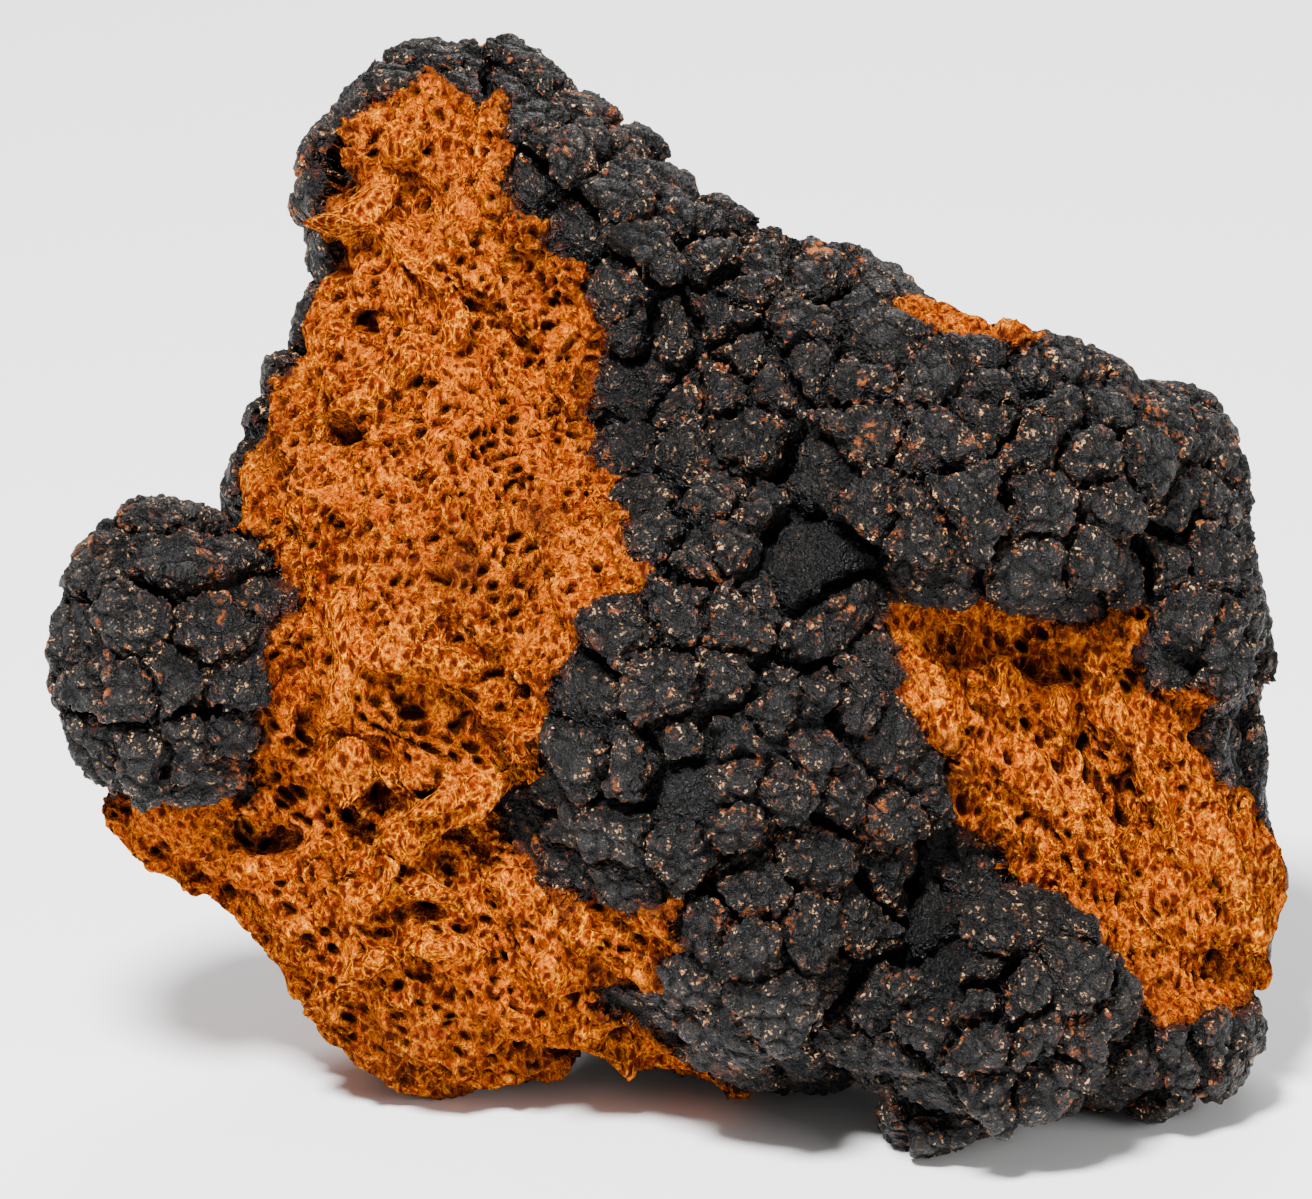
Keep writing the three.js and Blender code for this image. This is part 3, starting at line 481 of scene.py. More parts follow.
# The nearest site of each point, the next one, and the distance to their border
def nearest_two(points):
    first = np.empty(len(points), np.int32)
    second = np.empty(len(points), np.int32)
    border = np.empty(len(points), np.float32)
    squares = (SITES32 ** 2).sum(1)
    for start in range(0, len(points), 8192):
        part = points[start:start + 8192]
        closeness = 2 * part @ SITES32.T - squares
        rows = np.arange(len(part))
        i = np.argmax(closeness, 1)
        best = closeness[rows, i].copy()
        closeness[rows, i] = -1e9
        j = np.argmax(closeness, 1)
        apart = np.linalg.norm(SITES32[i] - SITES32[j], axis=1) + 1e-6
        first[start:start + 8192] = i
        second[start:start + 8192] = j
        border[start:start + 8192] = (best - closeness[rows, j]) / (2 * apart)
    return first, second, border


# Points nudged about, so that cracks wander instead of running straight
def wander(points):
    swirl = np.sin(points[:, [1, 2, 0]] * 1.1 + 2 * np.sin(points[:, [2, 0, 1]] * 0.6))
    fine = np.sin(points[:, [2, 0, 1]] * 3.3 + 2.5 * np.sin(points[:, [1, 2, 0]] * 2.1))
    return (points + 0.4 * swirl + 0.2 * fine).astype(np.float32)


# Height of the chunk's skin at points near it: plates, cracks and torn flesh
def skin(points, smooth):
    moved = wander(points)
    i, j, border = nearest_two(moved)
    lift = LIFT[i].astype(np.float32)
    flat = ((points - SITES32[i]) * UP[i].astype(np.float32)).sum(1) - lift
    above = smooth - lift
    swell = 0.15 * np.sin(points[:, 0] * 1.7 + points[:, 1])
    swell *= np.sin(points[:, 1] * 1.5 - points[:, 2] * 1.3)
    rounding = PLATE_ROUNDING[0] * np.clip(1 - border / PLATE_ROUNDING[1], 0, 1) ** 2
    top = np.minimum(smooth_max(above - PLATE_CAP, flat, 0.8), above + PLATE_CAP) + swell + rounding
    same = BLOCK[i] == BLOCK[j]
    to_plate = IS_PLATE[j]
    width = np.where(to_plate, np.where(same, NARROW_CRACK[0], WIDE_CRACK[0]), 0.3)
    depth = np.where(to_plate, np.where(same, NARROW_CRACK[1], WIDE_CRACK[1]), 0.4)
    width, depth = width * CRACK_SHARE[i], depth * CRACK_SHARE[i]
    block = smooth_max(top, width / 2 - border, RIM_WEAR)
    crust = np.minimum(block, smooth + depth)
    along = 0.55 * points[:, 0] + 0.83 * points[:, 1]
    across = 0.83 * points[:, 0] - 0.55 * points[:, 1] + 0.6 * points[:, 2]
    folds = np.sin(across * 0.68 + 1.6 * np.sin(along * 0.19))
    knots = np.sin(points[:, 0] * 0.83) * np.sin(points[:, 1] * 0.71 + 1) * np.cos(points[:, 2] * 0.64)
    flesh = smooth - FOLD_HEIGHT * folds - KNOT_HEIGHT * knots
    value = np.where(IS_PLATE[i], crust, flesh)
    up = (SKETCH_MIDDLE[1] - points[:, 1]) * math.cos(LEAN) + points[:, 2] * math.sin(LEAN)
    return np.maximum(value, REST_HEIGHT - up)


# The field of the skin over a box of space, exact only near the surface
def skin_field(low, high, step):
    size = [int(math.ceil((b - a) / step / 4)) * 4 + 1 for a, b in zip(low, high)]
    axes = [a + step * np.arange(n, dtype=np.float32) for a, n in zip(low, size)]
    coarse = np.stack(np.meshgrid(*[axis[::4] for axis in axes], indexing="ij"), -1)
    rough = form(coarse.reshape(-1, 3)).reshape(coarse.shape[:3])
    reach = 5 + 2 * step
    wide = np.minimum(np.abs(rough[:-1]), np.abs(rough[1:])) < reach
    field = np.repeat(np.repeat(np.repeat(rough, 4, 0), 4, 1), 4, 2)
    field = field[:size[0], :size[1], :size[2]].copy()
    near = np.abs(rough) < reach + 3 * step
    near[:-1] |= wide
    near[1:] |= wide
    grown = near.copy()
    for axis in range(3):
        moved = np.zeros_like(near)
        ahead = [slice(None)] * 3
        back = [slice(None)] * 3
        ahead[axis], back[axis] = slice(1, None), slice(None, -1)
        moved[tuple(back)] |= near[tuple(ahead)]
        moved[tuple(ahead)] |= near[tuple(back)]
        grown |= moved
    band = np.repeat(np.repeat(np.repeat(grown, 4, 0), 4, 1), 4, 2)[:size[0], :size[1], :size[2]]
    spots = np.flatnonzero(band)
    for start in range(0, len(spots), 400000):
        part = spots[start:start + 400000]
        i, j, k = np.unravel_index(part, band.shape)
        points = np.stack([axes[0][i], axes[1][j], axes[2][k]], 1)
        smooth = form(points)
        close = (smooth > -5) & (smooth < 5)
        value = smooth.copy()
        value[close] = skin(points[close], smooth[close])
        field.flat[part] = value
    return field, np.array(low, np.float32)


# A mesh of the zero level of a field: one point in each cell that the skin crosses
def mesh_of(field, low, step):
    inside = field < 0
    count = np.zeros([n - 1 for n in field.shape], np.int8)
    corners = [(a, b, c) for a in (0, 1) for b in (0, 1) for c in (0, 1)]
    for a, b, c in corners:
        nx, ny, nz = count.shape
        count += inside[a:a + nx, b:b + ny, c:c + nz]
    cells = np.flatnonzero((count > 0) & (count < 8))
    index = np.full(count.shape, -1, np.int32)
    index.flat[cells] = np.arange(len(cells))
    place = np.stack(np.unravel_index(cells, count.shape), 1)
    values = {c: field[place[:, 0] + c[0], place[:, 1] + c[1], place[:, 2] + c[2]] for c in corners}
    total = np.zeros((len(cells), 3), np.float32)
    hits = np.zeros(len(cells), np.float32)
    for start in corners:
        for axis in range(3):
            if start[axis] == 1:
                continue
            end = tuple(1 if a == axis else start[a] for a in range(3))
            va, vb = values[start], values[end]
            crossed = (va < 0) != (vb < 0)
            share = np.where(crossed, va / np.where(crossed, va - vb, 1), 0)
            for a in range(3):
                total[:, a] += crossed * (start[a] + (share if a == axis else 0))
            hits += crossed
    points = low + step * (place + total / hits[:, None])
    quads = []
    for axis in range(3):
        one, two = [a for a in range(3) if a != axis]
        first = [slice(None)] * 3
        last = [slice(None)] * 3
        first[axis], last[axis] = slice(None, -1), slice(1, None)
        for a in (one, two):
            first[a] = last[a] = slice(1, -1)
        start, end = inside[tuple(first)], inside[tuple(last)]
        at = np.stack(np.nonzero(start != end), 1)
        out = start[tuple(at.T)]
        at[:, one] += 1
        at[:, two] += 1
        around = []
        for da, db in ((1, 1), (0, 1), (0, 0), (1, 0)):
            cell = at.copy()
            cell[:, one] -= da
            cell[:, two] -= db
            around.append(index[tuple(cell.T)])
        ring = np.stack(around, 1)
        flip = ~out if axis != 1 else out
        ring[flip] = ring[flip][:, ::-1]
        quads.append(ring)
    quads = np.concatenate(quads)
    return points, np.concatenate([quads[:, [0, 1, 2]], quads[:, [0, 2, 3]]])


def point_normals(points, triangles):
    a, b, c = (points[triangles[:, k]] for k in range(3))
    face = np.cross(b - a, c - a)
    total = np.zeros_like(points)
    for k in range(3):
        for axis in range(3):
            total[:, axis] += np.bincount(triangles[:, k], face[:, axis], len(points))
    return unit(total)


def cell_draw(cell, seed):
    mixed = cell[:, 0] * 73856093 ^ cell[:, 1] * 19349663 ^ cell[:, 2] * 83492791 ^ seed * 40503
    mixed = (mixed ^ (mixed >> 13)) * 1274126177 & 0xFFFFFFFF
    return ((mixed ^ (mixed >> 16)) & 0xFFFF).astype(np.float32) / 65535


# Even noise from -1 to 1 with features of one size
def noise(points, size, seed):
    scaled = points / size
    cell = np.floor(scaled).astype(np.int64)
    part = scaled - cell
    part = part * part * (3 - 2 * part)
    total = np.zeros(len(points), np.float32)
    for a in (0, 1):
        for b in (0, 1):
            for c in (0, 1):
                weight = np.ones(len(points), np.float32)
                for axis, side in enumerate((a, b, c)):
                    weight *= part[:, axis] if side else 1 - part[:, axis]
                total += weight * cell_draw(cell + (a, b, c), seed)
    return total * 2 - 1


# Distance to the nearest and next of loosely spread spots, in spot spacings
def spots(points, size, seed):
    scaled = points / size
    cell = np.floor(scaled).astype(np.int64)
    nearest = np.full(len(points), 9, np.float32)
    second = nearest.copy()
    for a in (-1, 0, 1):
        for b in (-1, 0, 1):
            for c in (-1, 0, 1):
                other = cell + (a, b, c)
                gap = np.zeros(len(points), np.float32)
                for axis in range(3):
                    gap += (other[:, axis] + cell_draw(other, seed + axis) - scaled[:, axis]) ** 2
                second = np.minimum(second, np.maximum(nearest, gap))
                nearest = np.minimum(nearest, gap)
    return np.sqrt(nearest), np.sqrt(second)


def ramp(value, start, end):
    share = np.clip((value - start) / (end - start), 0, 1)
    return share * share * (3 - 2 * share)


# Distance in the sketch to a run of straight stretches
def run_distance(flat, run):
    best = np.full(len(flat), 99, np.float32)
    for start, end in zip(run[:-1], run[1:]):
        start, reach = np.array(start), np.array(end) - np.array(start)
        share = np.clip((flat - start) @ reach / (reach @ reach), 0, 1)
        best = np.minimum(best, np.linalg.norm(flat - start - share[:, None] * reach, axis=1))
    return best


# Big torn ridges and caves of the front flesh
def torn_height(flesh, facing):
    flat = flesh[:, :2] + 0.3 * np.stack([noise(flesh, 2.6, 51), noise(flesh, 2.6, 52)], 1)
    height = np.zeros(len(flesh), np.float32)
    for _, run, half, rise in FLESH_RIDGES:
        height += 1.9 * rise * np.exp(-(run_distance(flat, run) / half) ** 2)
    for _, middle, half, depth in FLESH_PITS:
        height -= 1.5 * depth * np.exp(-(((flat - middle) / half) ** 2).sum(1) ** 1.5)
    return height * ramp(facing, 0.05, 0.4)


# Share of the listed stains and of the painted shade in the same table, on faces towards the front
def stained(flesh, facing):
    share = np.zeros(len(flesh), np.float32)
    for _, middle, half, strength in FLESH_STAINS_AND_SHADE:
        share = np.maximum(share, strength * np.exp(-(((flesh[:, :2] - middle) / half) ** 2).sum(1)))
    return share * ramp(facing, -0.2, 0.2)


# A sponge of fibres round pores, drawn out along the lie of the fibres
def sponge(flesh, lie):
    lie = np.array(lie) / np.linalg.norm(lie)
    stretched = flesh - 0.45 * (flesh @ lie)[:, None] * lie
    bent = stretched + 0.45 * np.stack([noise(flesh, 1.7, seed) for seed in (31, 32, 33)], 1)
    near, far = spots(bent, 1.3, 41)
    net = 1 - ramp(far - near, 0.05, 0.5)
    threads = 1 - np.abs(noise(bent, 0.8, 35))
    return net, threads ** 2, 1 - ramp(near, 0.12, 0.6)


# Grain, chips and hairline cracks of the crust, and pores and fibres of the flesh, with masks for
# painted shade in low places and painted highlight on raised ones
def add_relief(points, triangles):
    normals = point_normals(points, triangles)
    i, j, border = nearest_two(wander(points))
    plate = IS_PLATE[i]
    rise = np.zeros(len(points), np.float32)
    marks = {name: np.zeros(len(points), np.float32) for name in MARK_NAMES}
    marks["tone"] = draw(i * 1.7).astype(np.float32)
    marks["bare"] = np.where(plate, 0, 1).astype(np.float32)
    kind_border = IS_PLATE[i] != IS_PLATE[j]
    marks["rim"] = np.where(kind_border, 1 - ramp(border, 0, 1.8), 0).astype(np.float32)
    smooth = form(points)

    crust = points[plate]
    near, far = spots(crust, 2.7, 11)
    hairline = 1 - ramp(far - near, 0.02, 0.17)
    near, far = spots(crust + 0.3 * noise(crust, 0.9, 24)[:, None], 1.15, 12)
    grains = ramp(far - near, 0.02, 0.55)
    patch = ramp(noise(crust, 6.5, 25), -0.3, 0.6)
    chips = 1 - 2 * np.abs(noise(crust, 1.9, 21)) + 0.6 * noise(crust, 0.95, 22)
    lumps = noise(crust, 5.5, 23)
    sunk = ramp(-smooth[plate], 0.2, 2.2)
    knobs = np.maximum(noise(crust, 3.2, 26), 0) * (1 - ramp(np.abs(normals[plate, 2]), 0.2, 0.7))
    relief = 0.16 * chips + 0.26 * lumps - 0.38 * hairline + (0.08 + 0.22 * patch) * (grains - 0.6)
    relief += 0.7 * knobs
    rise[plate] = relief * (1 - 0.35 * sunk)
    # Mask of painted shade in sunk cracks, hairlines and gaps between grains
    marks["deep_shade"][plate] = np.clip(np.maximum(sunk, 0.9 * hairline) + 0.3 * (1 - grains), 0, 1)
    # Mask of painted highlight on the raised tops of the crust
    marks["high"][plate] = ramp(relief, 0.0, 0.3) * (1 - sunk)
    marks["edge"][plate] = (1 - ramp(border[plate], 0.6, 1.9)) * (1 - sunk)

    flesh = points[~plate]
    weights = [1 / (np.linalg.norm(flesh - middle, axis=1) ** 6 + 1) for _, middle, _ in FIBRE_RUNS]
    total = sum(weights)
    net, threads, pores = 0, 0, 0
    for weight, (_, _, lie) in zip(weights, FIBRE_RUNS):
        parts = sponge(flesh, lie)
        net = net + weight / total * parts[0]
        threads = threads + weight / total * parts[1]
        pores = pores + weight / total * parts[2]
    open_pores = pores * ramp(noise(flesh, 3.4, 36), -1.1, 0.3)
    torn = noise(flesh, 8, 37) + 0.6 * noise(flesh, 4.2, 38) + 0.35 * noise(flesh, 2.1, 39)
    large = torn_height(flesh, normals[~plate, 2])
    open_pores *= 1 - 0.7 * ramp(large, 0.3, 1.4)
    rise[~plate] = 0.4 * torn + 0.5 * net + 0.22 * threads - 0.95 * open_pores + large - 0.35
    # Mask of painted shade in open pores, between strands, in low torn places and in caves
    low = 0.4 * (1 - net) * (1 - threads) - 0.22 * torn - 0.14 * np.minimum(large, 0)
    marks["deep_shade"][~plate] = np.clip(0.8 * open_pores + low, 0, 1)
    # Mask of painted highlight on raised strands, torn bumps and ridges of the flesh
    marks["high"][~plate] = np.clip(0.6 * net * threads + 0.2 * torn + 0.35 * np.maximum(large, 0), 0, 1)
    # Stains and painted shade from the stain table
    marks["stain_and_shade"][~plate] = stained(flesh, normals[~plate, 2])
    return points + normals * rise[:, None], marks


# From sketch measures to metres in the part's own frame
def stand_up(points):
    right = points[:, 0] - SKETCH_MIDDLE[0]
    up = SKETCH_MIDDLE[1] - points[:, 1]
    near = points[:, 2]
    placed = np.stack([
        right,
        up * math.sin(LEAN) - near * math.cos(LEAN),
        up * math.cos(LEAN) + near * math.sin(LEAN),
    ], 1)
    placed[:, 2] = np.maximum(placed[:, 2], REST_HEIGHT)
    return placed / 1000


# Chains of open edges, each one a loop round a hole
def open_loops(triangles):
    edges = np.concatenate([triangles[:, [0, 1]], triangles[:, [1, 2]], triangles[:, [2, 0]]])
    top = int(triangles.max()) + 1
    ahead = edges[:, 0].astype(np.int64) * top + edges[:, 1]
    back = edges[:, 1].astype(np.int64) * top + edges[:, 0]
    kinds, place, uses = np.unique(ahead, return_index=True, return_counts=True)
    partners, partner_uses = np.unique(back, return_counts=True)
    match = np.minimum(np.searchsorted(partners, kinds), len(partners) - 1)
    spare = uses - np.where(partners[match] == kinds, partner_uses[match], 0)
    following = {}
    for index in np.flatnonzero(spare > 0):
        a, b = edges[place[index]]
        following.setdefault(int(a), []).extend([int(b)] * int(spare[index]))
    loops = []
    while following:
        start = next(iter(following))
        loop = [start]
        while True:
            ends = following[loop[-1]]
            step = ends.pop()
            if not ends:
                del following[loop[-1]]
            if step == start:
                break
            loop.append(step)
        loops.append(loop)
    return loops


# Each open loop is closed by rings that follow the lines of growth inwards, to one point
def close_up(points, sketch, triangles, normals):
    new_points, new_triangles = [points], [triangles]
    count = len(points)
    for loop in open_loops(triangles):
        loop = np.array(loop)
        stride = CLOSING_STRIDE if len(loop) >= 4 * CLOSING_STRIDE else len(loop)
        ring = sketch[loop[::stride]].astype(float)
        owner = count + np.arange(len(loop)) // stride
        after, next_owner = np.roll(loop, -1), np.roll(owner, -1)
        new_triangles.append(np.stack([after, loop, owner], 1))
        new_triangles.append(np.stack([after, owner, next_owner], 1)[owner != next_owner])
        whole = len(ring) > 1
        for number, steps in enumerate(CLOSING_STEPS if whole else CLOSING_STEPS[:1]):
            for _ in range(steps):
                ring = step_in(ring, LINE_STEP)
            new_points.append(place(ring))
            lower = count + np.arange(len(ring))
            upper = lower - len(ring)
            if number > 0:
                ahead = np.roll(upper, -1)
                new_triangles.append(np.stack([ahead, upper, lower], 1))
                new_triangles.append(np.stack([ahead, lower, np.roll(lower, -1)], 1))
            count += len(ring)
        if whole:
            new_points.append(place(HEART[None].astype(float)))
            new_triangles.append(np.stack([np.roll(lower, -1), lower, np.full(len(ring), count)], 1))
            count += 1
    added = np.concatenate(new_points)
    full_normals = np.zeros_like(added)
    full_normals[:len(points)] = normals
    full_normals[len(points):, 2] = 1
    return added, np.concatenate(new_triangles), full_normals


def make_piece(name, slot, points, sketch, triangles, normals, marks):
    used, inverse = np.unique(triangles, return_inverse=True)
    triangles = inverse.reshape(-1, 3)
    surface_count = len(used)
    points, triangles, normals = close_up(points[used], sketch[used], triangles, normals[used])
    mesh = bpy.data.meshes.new(name)
    mesh.vertices.add(len(points))
    mesh.vertices.foreach_set("co", points.astype(np.float32).ravel())
    mesh.loops.add(triangles.size)
    mesh.loops.foreach_set("vertex_index", triangles.astype(np.int32).ravel())
    mesh.polygons.add(len(triangles))
    mesh.polygons.foreach_set("loop_start", np.arange(0, triangles.size, 3, dtype=np.int32))
    mesh.update(calc_edges=True)
    mesh.validate()
    for mark, values in marks.items():
        layer = mesh.attributes.new(mark, "FLOAT", "POINT")
        full = np.zeros(len(points), np.float32)
        full[:surface_count] = values[used]
        layer.data.foreach_set("value", full)
    mesh.polygons.foreach_set("use_smooth", np.ones(len(triangles), bool))
    mesh.normals_split_custom_set_from_vertices(normals.astype(np.float64).tolist())
    mesh.materials.append(MATERIALS[slot])
    piece = bpy.data.objects.new(name, mesh)
    bpy.context.scene.collection.objects.link(piece)
    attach(piece, "root")
    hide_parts("chaga_conk")
    return len(triangles)


# Front and back skins, the back one coarser, overlapping a little at the seam
def grow_skins():
    skins = []
    for step, near, far in ((FRONT_STEP, SEAM_AT, 46), (BACK_STEP, -46, SEAM_AT + 0.5)):
        field, low = skin_field((-2, -2, near), (133, 122, far), step)
        points, triangles = mesh_of(field, low, step)
        moved, marks = add_relief(points, triangles)
        skins.append((stand_up(moved), points, triangles[:, ::-1].copy(), marks))
    return skins


# The low corner of the skins and the share that fits them to the solid's box
def fit(skins):
    low = np.min([stood.min(0) for stood, _, _, _ in skins], 0)
    high = np.max([stood.max(0) for stood, _, _, _ in skins], 0)
    return low, (np.array(cad_high) - np.array(cad_low)) / (high - low)


def fitted(stood):
    return (stood - FIT_LOW) * FIT_SHARE + np.array(cad_low)


def place(sketch):
    return fitted(stand_up(sketch))


# A node of a shader tree with its settings and its own sockets' values
def add(tree, kind, settings=None, values=None):
    made = tree.nodes.new(kind)
    for name, value in (settings or {}).items():
        setattr(made, name, value)
    for name, value in (values or {}).items():
        made.inputs[name].default_value = value
    return made


def blend_colours(tree, share, first, second, mode="MIX"):
    mix = add(tree, "ShaderNodeMix", {"data_type": "RGBA", "blend_type": mode})
    for socket, value in ((mix.inputs[0], share), (mix.inputs[6], first), (mix.inputs[7], second)):
        if isinstance(value, bpy.types.NodeSocket):
            tree.links.new(value, socket)
        else:
            socket.default_value = value
    return mix.outputs[2]


def scaled(tree, value, from_low, from_high, to_low=0, to_high=1):
    part = add(tree, "ShaderNodeMapRange", {"interpolation_type": "SMOOTHSTEP"}, {
        "From Min": from_low, "From Max": from_high, "To Min": to_low, "To Max": to_high,
    })
    tree.links.new(value, part.inputs["Value"])
    return part.outputs["Result"]


def combine(tree, operation, first, second):
    part = add(tree, "ShaderNodeMath", {"operation": operation})
    for socket, value in zip(part.inputs, (first, second)):
        if isinstance(value, bpy.types.NodeSocket):
            tree.links.new(value, socket)
        else:
            socket.default_value = value
    return part.outputs[0]


def noise_at(tree, place, per_metre, detail=4, roughness=0.55):
    part = add(tree, "ShaderNodeTexNoise", None, {
        "Scale": per_metre, "Detail": detail, "Roughness": roughness,
    })
    tree.links.new(place, part.inputs["Vector"])
    return part.outputs["Fac"]


def cells_at(tree, place, per_metre, feature="F1"):
    part = add(tree, "ShaderNodeTexVoronoi", {"feature": feature}, {"Scale": per_metre})
    tree.links.new(place, part.inputs["Vector"])
    return part.outputs["Distance"]


def mark_of(tree, name):
    return add(tree, "ShaderNodeAttribute", {"attribute_name": name}).outputs["Fac"]


# A place nudged about by noise, so that a pattern of cells isn't regular
def nudged(tree, place, per_metre, reach):
    stir = add(tree, "ShaderNodeTexNoise", None, {"Scale": per_metre, "Detail": 2})
    tree.links.new(place, stir.inputs["Vector"])
    centred = add(tree, "ShaderNodeVectorMath", {"operation": "SUBTRACT"})
    tree.links.new(stir.outputs["Color"], centred.inputs[0])
    centred.inputs[1].default_value = (0.5, 0.5, 0.5)
    shift = add(tree, "ShaderNodeVectorMath", {"operation": "SCALE"}, {"Scale": reach})
    tree.links.new(centred.outputs["Vector"], shift.inputs[0])
    total = add(tree, "ShaderNodeVectorMath", {"operation": "ADD"})
    tree.links.new(place, total.inputs[0])
    tree.links.new(shift.outputs["Vector"], total.inputs[1])
    return total.outputs["Vector"]


def surface_group(name):
    group = bpy.data.node_groups.new(name, "ShaderNodeTree")
    for label, kind in (("Colour", "NodeSocketColor"), ("Roughness", "NodeSocketFloat"),
                        ("Height", "NodeSocketFloat")):
        group.interface.new_socket(label, in_out="OUTPUT", socket_type=kind)
    place = group.nodes.new("ShaderNodeTexCoord").outputs["Object"]
    return group, place


def finish_group(group, colour, roughness, height):
    out = group.nodes.new("NodeGroupOutput")
    for label, value in (("Colour", colour), ("Roughness", roughness), ("Height", height)):
        group.links.new(value, out.inputs[label])
    return group


# Charcoal crust: dark grain, chipped tops with pale ash grain and a painted highlight, tan specks,
# painted shade darkening the cracks, and rusty rims
def crust_group():
    group, place = surface_group("Charcoal crust")
    patches = scaled(group, noise_at(group, place, 180), 0.32, 0.68)
    base = blend_colours(group, patches, CRUST_BLACK, CRUST_GREY)
    tone = scaled(group, mark_of(group, "tone"), 0, 1, 0.0, 0.45)
    base = blend_colours(group, tone, base, CRUST_WARM)
    grain = noise_at(group, place, 2600, 3, 0.7)
    # Painted highlight: pale ash grain laid on more thickly where the crust is raised
    high = scaled(group, mark_of(group, "high"), 0.15, 0.9, 0.25, 1)
    ash_and_highlight = combine(group, "MULTIPLY", scaled(group, grain, 0.55, 0.68), high)
    base = blend_colours(group, combine(group, "MULTIPLY", ash_and_highlight, 0.6), base, CRUST_ASH_AND_HIGHLIGHT)
    flakes = cells_at(group, nudged(group, place, 1500, 0.0016), 1500)
    flake_share = combine(group, "MULTIPLY", scaled(group, flakes, 0.34, 0.2),
                          scaled(group, noise_at(group, place, 520), 0.44, 0.62))
    edge = scaled(group, mark_of(group, "edge"), 0, 1, 0.5, 1)
    base = blend_colours(group, combine(group, "MULTIPLY", flake_share, edge), base, CRUST_TAN)
    worn = scaled(group, noise_at(group, place, 1300, 4), 0.56, 0.66)
    worn = combine(group, "MULTIPLY", mark_of(group, "edge"), worn)
    base = blend_colours(group, combine(group, "MULTIPLY", worn, 0.55), base, CRUST_RUST)
    rust = scaled(group, noise_at(group, place, 120, 5), 0.6, 0.7)
    rust = combine(group, "MULTIPLY", rust, scaled(group, noise_at(group, place, 1200, 3), 0.48, 0.58))
    base = blend_colours(group, combine(group, "MULTIPLY", rust, 0.85), base, CRUST_RUST)
    rim = scaled(group, noise_at(group, place, 420), 0.4, 0.58)
    rim = combine(group, "MULTIPLY", mark_of(group, "rim"), rim)
    base = blend_colours(group, rim, base, FLESH_BROWN)
    # Painted shade: cracks, hairlines and gaps between grains darkened towards black
    deep_shade = scaled(group, mark_of(group, "deep_shade"), 0.1, 0.8, 0, 0.97)
    base = blend_colours(group, deep_shade, base, CRACK_SHADE)
    roughness = scaled(group, grain, 0.3, 0.7, 0.34, 0.62)
    chips = combine(group, "MULTIPLY", cells_at(group, nudged(group, place, 1800, 0.0012), 1900), 1.6)
    return finish_group(group, base, roughness, combine(group, "ADD", grain, chips))


# Corky flesh: orange sponge with dark pores, bright strands with a painted highlight on raised places,
# brown stains, and painted shade in pits, caves, hollows and along the underside
def flesh_group():
    group, place = surface_group("Corky flesh")
    patches = scaled(group, noise_at(group, place, 95, 5), 0.35, 0.66)
    base = blend_colours(group, patches, FLESH_DEEP, FLESH_ORANGE)
    warm = scaled(group, noise_at(group, place, 420, 5), 0.4, 0.68)
    base = blend_colours(group, combine(group, "MULTIPLY", warm, 0.75), base, FLESH_GOLD)
    lie = add(group, "ShaderNodeMapping", None, {"Rotation": FIBRE_TURN, "Scale": FIBRE_STRETCH})
    group.links.new(place, lie.inputs["Vector"])
    fibres = noise_at(group, lie.outputs["Vector"], 2100, 3, 0.6)
    bent = nudged(group, lie.outputs["Vector"], 1000, 0.0014)
    net = cells_at(group, bent, 950, "DISTANCE_TO_EDGE")
    fine_net = cells_at(group, bent, 2000, "DISTANCE_TO_EDGE")
    strand = combine(group, "MULTIPLY", scaled(group, net, 0.15, 0.02), scaled(group, fibres, 0.36, 0.6))
    # Painted highlight: bright strands laid on more strongly where the flesh is raised
    high = scaled(group, mark_of(group, "high"), 0.05, 0.7, 0.35, 1)
    base = blend_colours(group, combine(group, "MULTIPLY", strand, high), base, FLESH_STRAND_AND_HIGHLIGHT)
    pits = scaled(group, net, 0.1, 0.32, 0, 0.93)
    base = blend_colours(group, pits, base, FLESH_BROWN)
    fine_pits = scaled(group, fine_net, 0.1, 0.34, 0, 0.6)
    base = blend_colours(group, fine_pits, base, FLESH_BROWN)
    base = blend_colours(group, scaled(group, fibres, 0.5, 0.34, 0, 0.5), base, FLESH_BROWN)
    stains = scaled(group, noise_at(group, place, 75, 6, 0.65), 0.6, 0.74, 0, 0.4)
    base = blend_colours(group, stains, base, FLESH_STAIN_AND_SHADE)
    # Stains from the table, with painted shade in hollows, under the shelf and along the underside
    marked = scaled(group, noise_at(group, place, 260, 4), 0.32, 0.58)
    marked = combine(group, "MULTIPLY", mark_of(group, "stain_and_shade"), marked)
    base = blend_colours(group, combine(group, "MULTIPLY", marked, 0.8), base, FLESH_STAIN_AND_SHADE)
    rim = scaled(group, noise_at(group, place, 380), 0.3, 0.6)
    rim = combine(group, "MULTIPLY", mark_of(group, "rim"), rim)
    base = blend_colours(group, combine(group, "MULTIPLY", rim, 0.8), base, FLESH_STAIN_AND_SHADE)
    # Painted shade: pores, pits, caves and low places darkened to near black brown
    deep_shade = scaled(group, mark_of(group, "deep_shade"), 0.12, 0.85, 0, 0.96)
    base = blend_colours(group, deep_shade, base, PORE_AND_CAVE_SHADE)
    roughness = scaled(group, strand, 0, 1, 0.95, 0.72)
    fine_strand = combine(group, "MULTIPLY", scaled(group, fine_net, 0.3, 0.02), 0.45)
    height = combine(group, "ADD", strand, fine_strand)
    return finish_group(group, base, roughness, height)


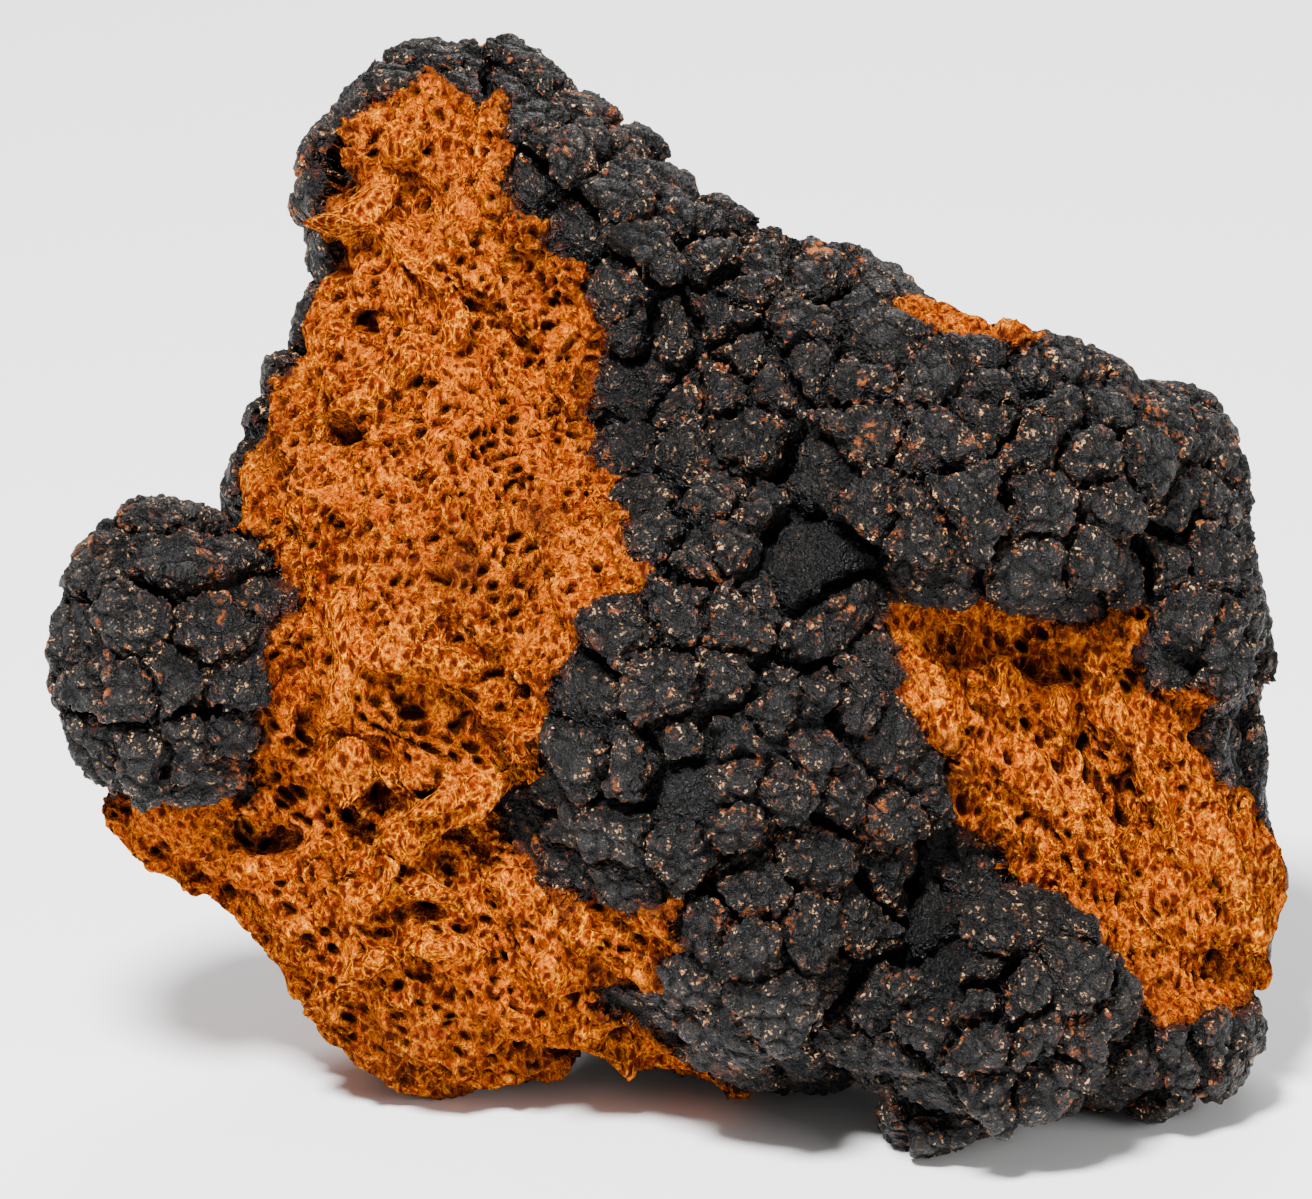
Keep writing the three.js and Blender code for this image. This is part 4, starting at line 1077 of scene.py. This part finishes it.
def conk_material(name, group, specular):
    material = bpy.data.materials.new(name)
    material.use_nodes = True
    tree = material.node_tree
    shader = tree.nodes["Principled BSDF"]
    shader.inputs["Specular IOR Level"].default_value = specular
    surface = add(tree, "ShaderNodeGroup", {"node_tree": group})
    bump = add(tree, "ShaderNodeBump", None, {"Strength": 0.9, "Distance": 0.0004})
    tree.links.new(surface.outputs["Colour"], shader.inputs["Base Color"])
    tree.links.new(surface.outputs["Roughness"], shader.inputs["Roughness"])
    tree.links.new(surface.outputs["Height"], bump.inputs["Height"])
    tree.links.new(bump.outputs["Normal"], shader.inputs["Normal"])
    return material


MATERIALS = {
    "crust": conk_material("Crust", crust_group(), 0.24),
    "flesh": conk_material("Flesh", flesh_group(), 0.02),
}


# Pieces of each skin, split by kind and then from left to right
def make_pieces():
    total = 0
    for side, (stood, sketch, triangles, marks) in zip(("front", "back"), SKINS):
        points = fitted(stood)
        normals = point_normals(points, triangles)
        bare = marks["bare"][triangles].mean(1) > 0.5
        for slot in ("crust", "flesh"):
            chosen = triangles[bare == (slot == "flesh")]
            chosen = chosen[np.argsort(points[chosen].mean(1)[:, 0])]
            parts = max(1, math.ceil(len(chosen) / PIECE_LIMIT))
            for number, part in enumerate(np.array_split(chosen, parts), 1):
                name = f"{slot}_{side}_{number}"
                made = make_piece(name, slot, points, sketch, part, normals, marks)
                print("piece", name, made, "triangles")
                total += made
    print("all pieces", total, "triangles")


SKINS = grow_skins()
FIT_LOW, FIT_SHARE = fit(SKINS)
make_pieces()


# Pale floor, soft studio light and a camera at the photograph's angle
def make_stage():
    bpy.ops.mesh.primitive_plane_add(size=6, location=(0, 0, 0))
    floor = bpy.context.object
    floor.name = "floor"
    paint = bpy.data.materials.new("Pale floor")
    paint.use_nodes = True
    paint.node_tree.nodes["Principled BSDF"].inputs["Base Color"].default_value = (0.95, 0.95, 0.95, 1)
    paint.node_tree.nodes["Principled BSDF"].inputs["Roughness"].default_value = 0.9
    floor.data.materials.append(paint)
    for name, place, size, power in LAMPS:
        light = bpy.data.lights.new(name, "AREA")
        light.shape = "DISK"
        light.size = size
        light.energy = power
        lamp = bpy.data.objects.new(name, light)
        lamp.location = place
        aim = TARGET - np.array(place)
        pitch = math.acos(-aim[2] / np.linalg.norm(aim))
        lamp.rotation_euler = (pitch, 0, math.atan2(aim[1], aim[0]) - math.pi / 2)
        bpy.context.scene.collection.objects.link(lamp)
    world = bpy.data.worlds.new("Studio")
    world.use_nodes = True
    world.node_tree.nodes["Background"].inputs["Color"].default_value = (1, 1, 1, 1)
    world.node_tree.nodes["Background"].inputs["Strength"].default_value = WORLD_STRENGTH
    bpy.context.scene.world = world


def make_camera():
    lens = bpy.data.cameras.new("camera")
    lens.lens = 250
    lens.sensor_width = 36
    camera = bpy.data.objects.new("camera", lens)
    distance = VIEW_WIDTH / 2 / (lens.sensor_width / 2 / lens.lens)
    back = np.array([0, -math.cos(LEAN), math.sin(LEAN)])
    camera.location = TARGET + back * distance
    camera.rotation_euler = (math.pi / 2 - LEAN, 0, 0)
    lens.clip_start, lens.clip_end = 0.01, 50
    bpy.context.scene.collection.objects.link(camera)
    bpy.context.scene.camera = camera


make_stage()
make_camera()
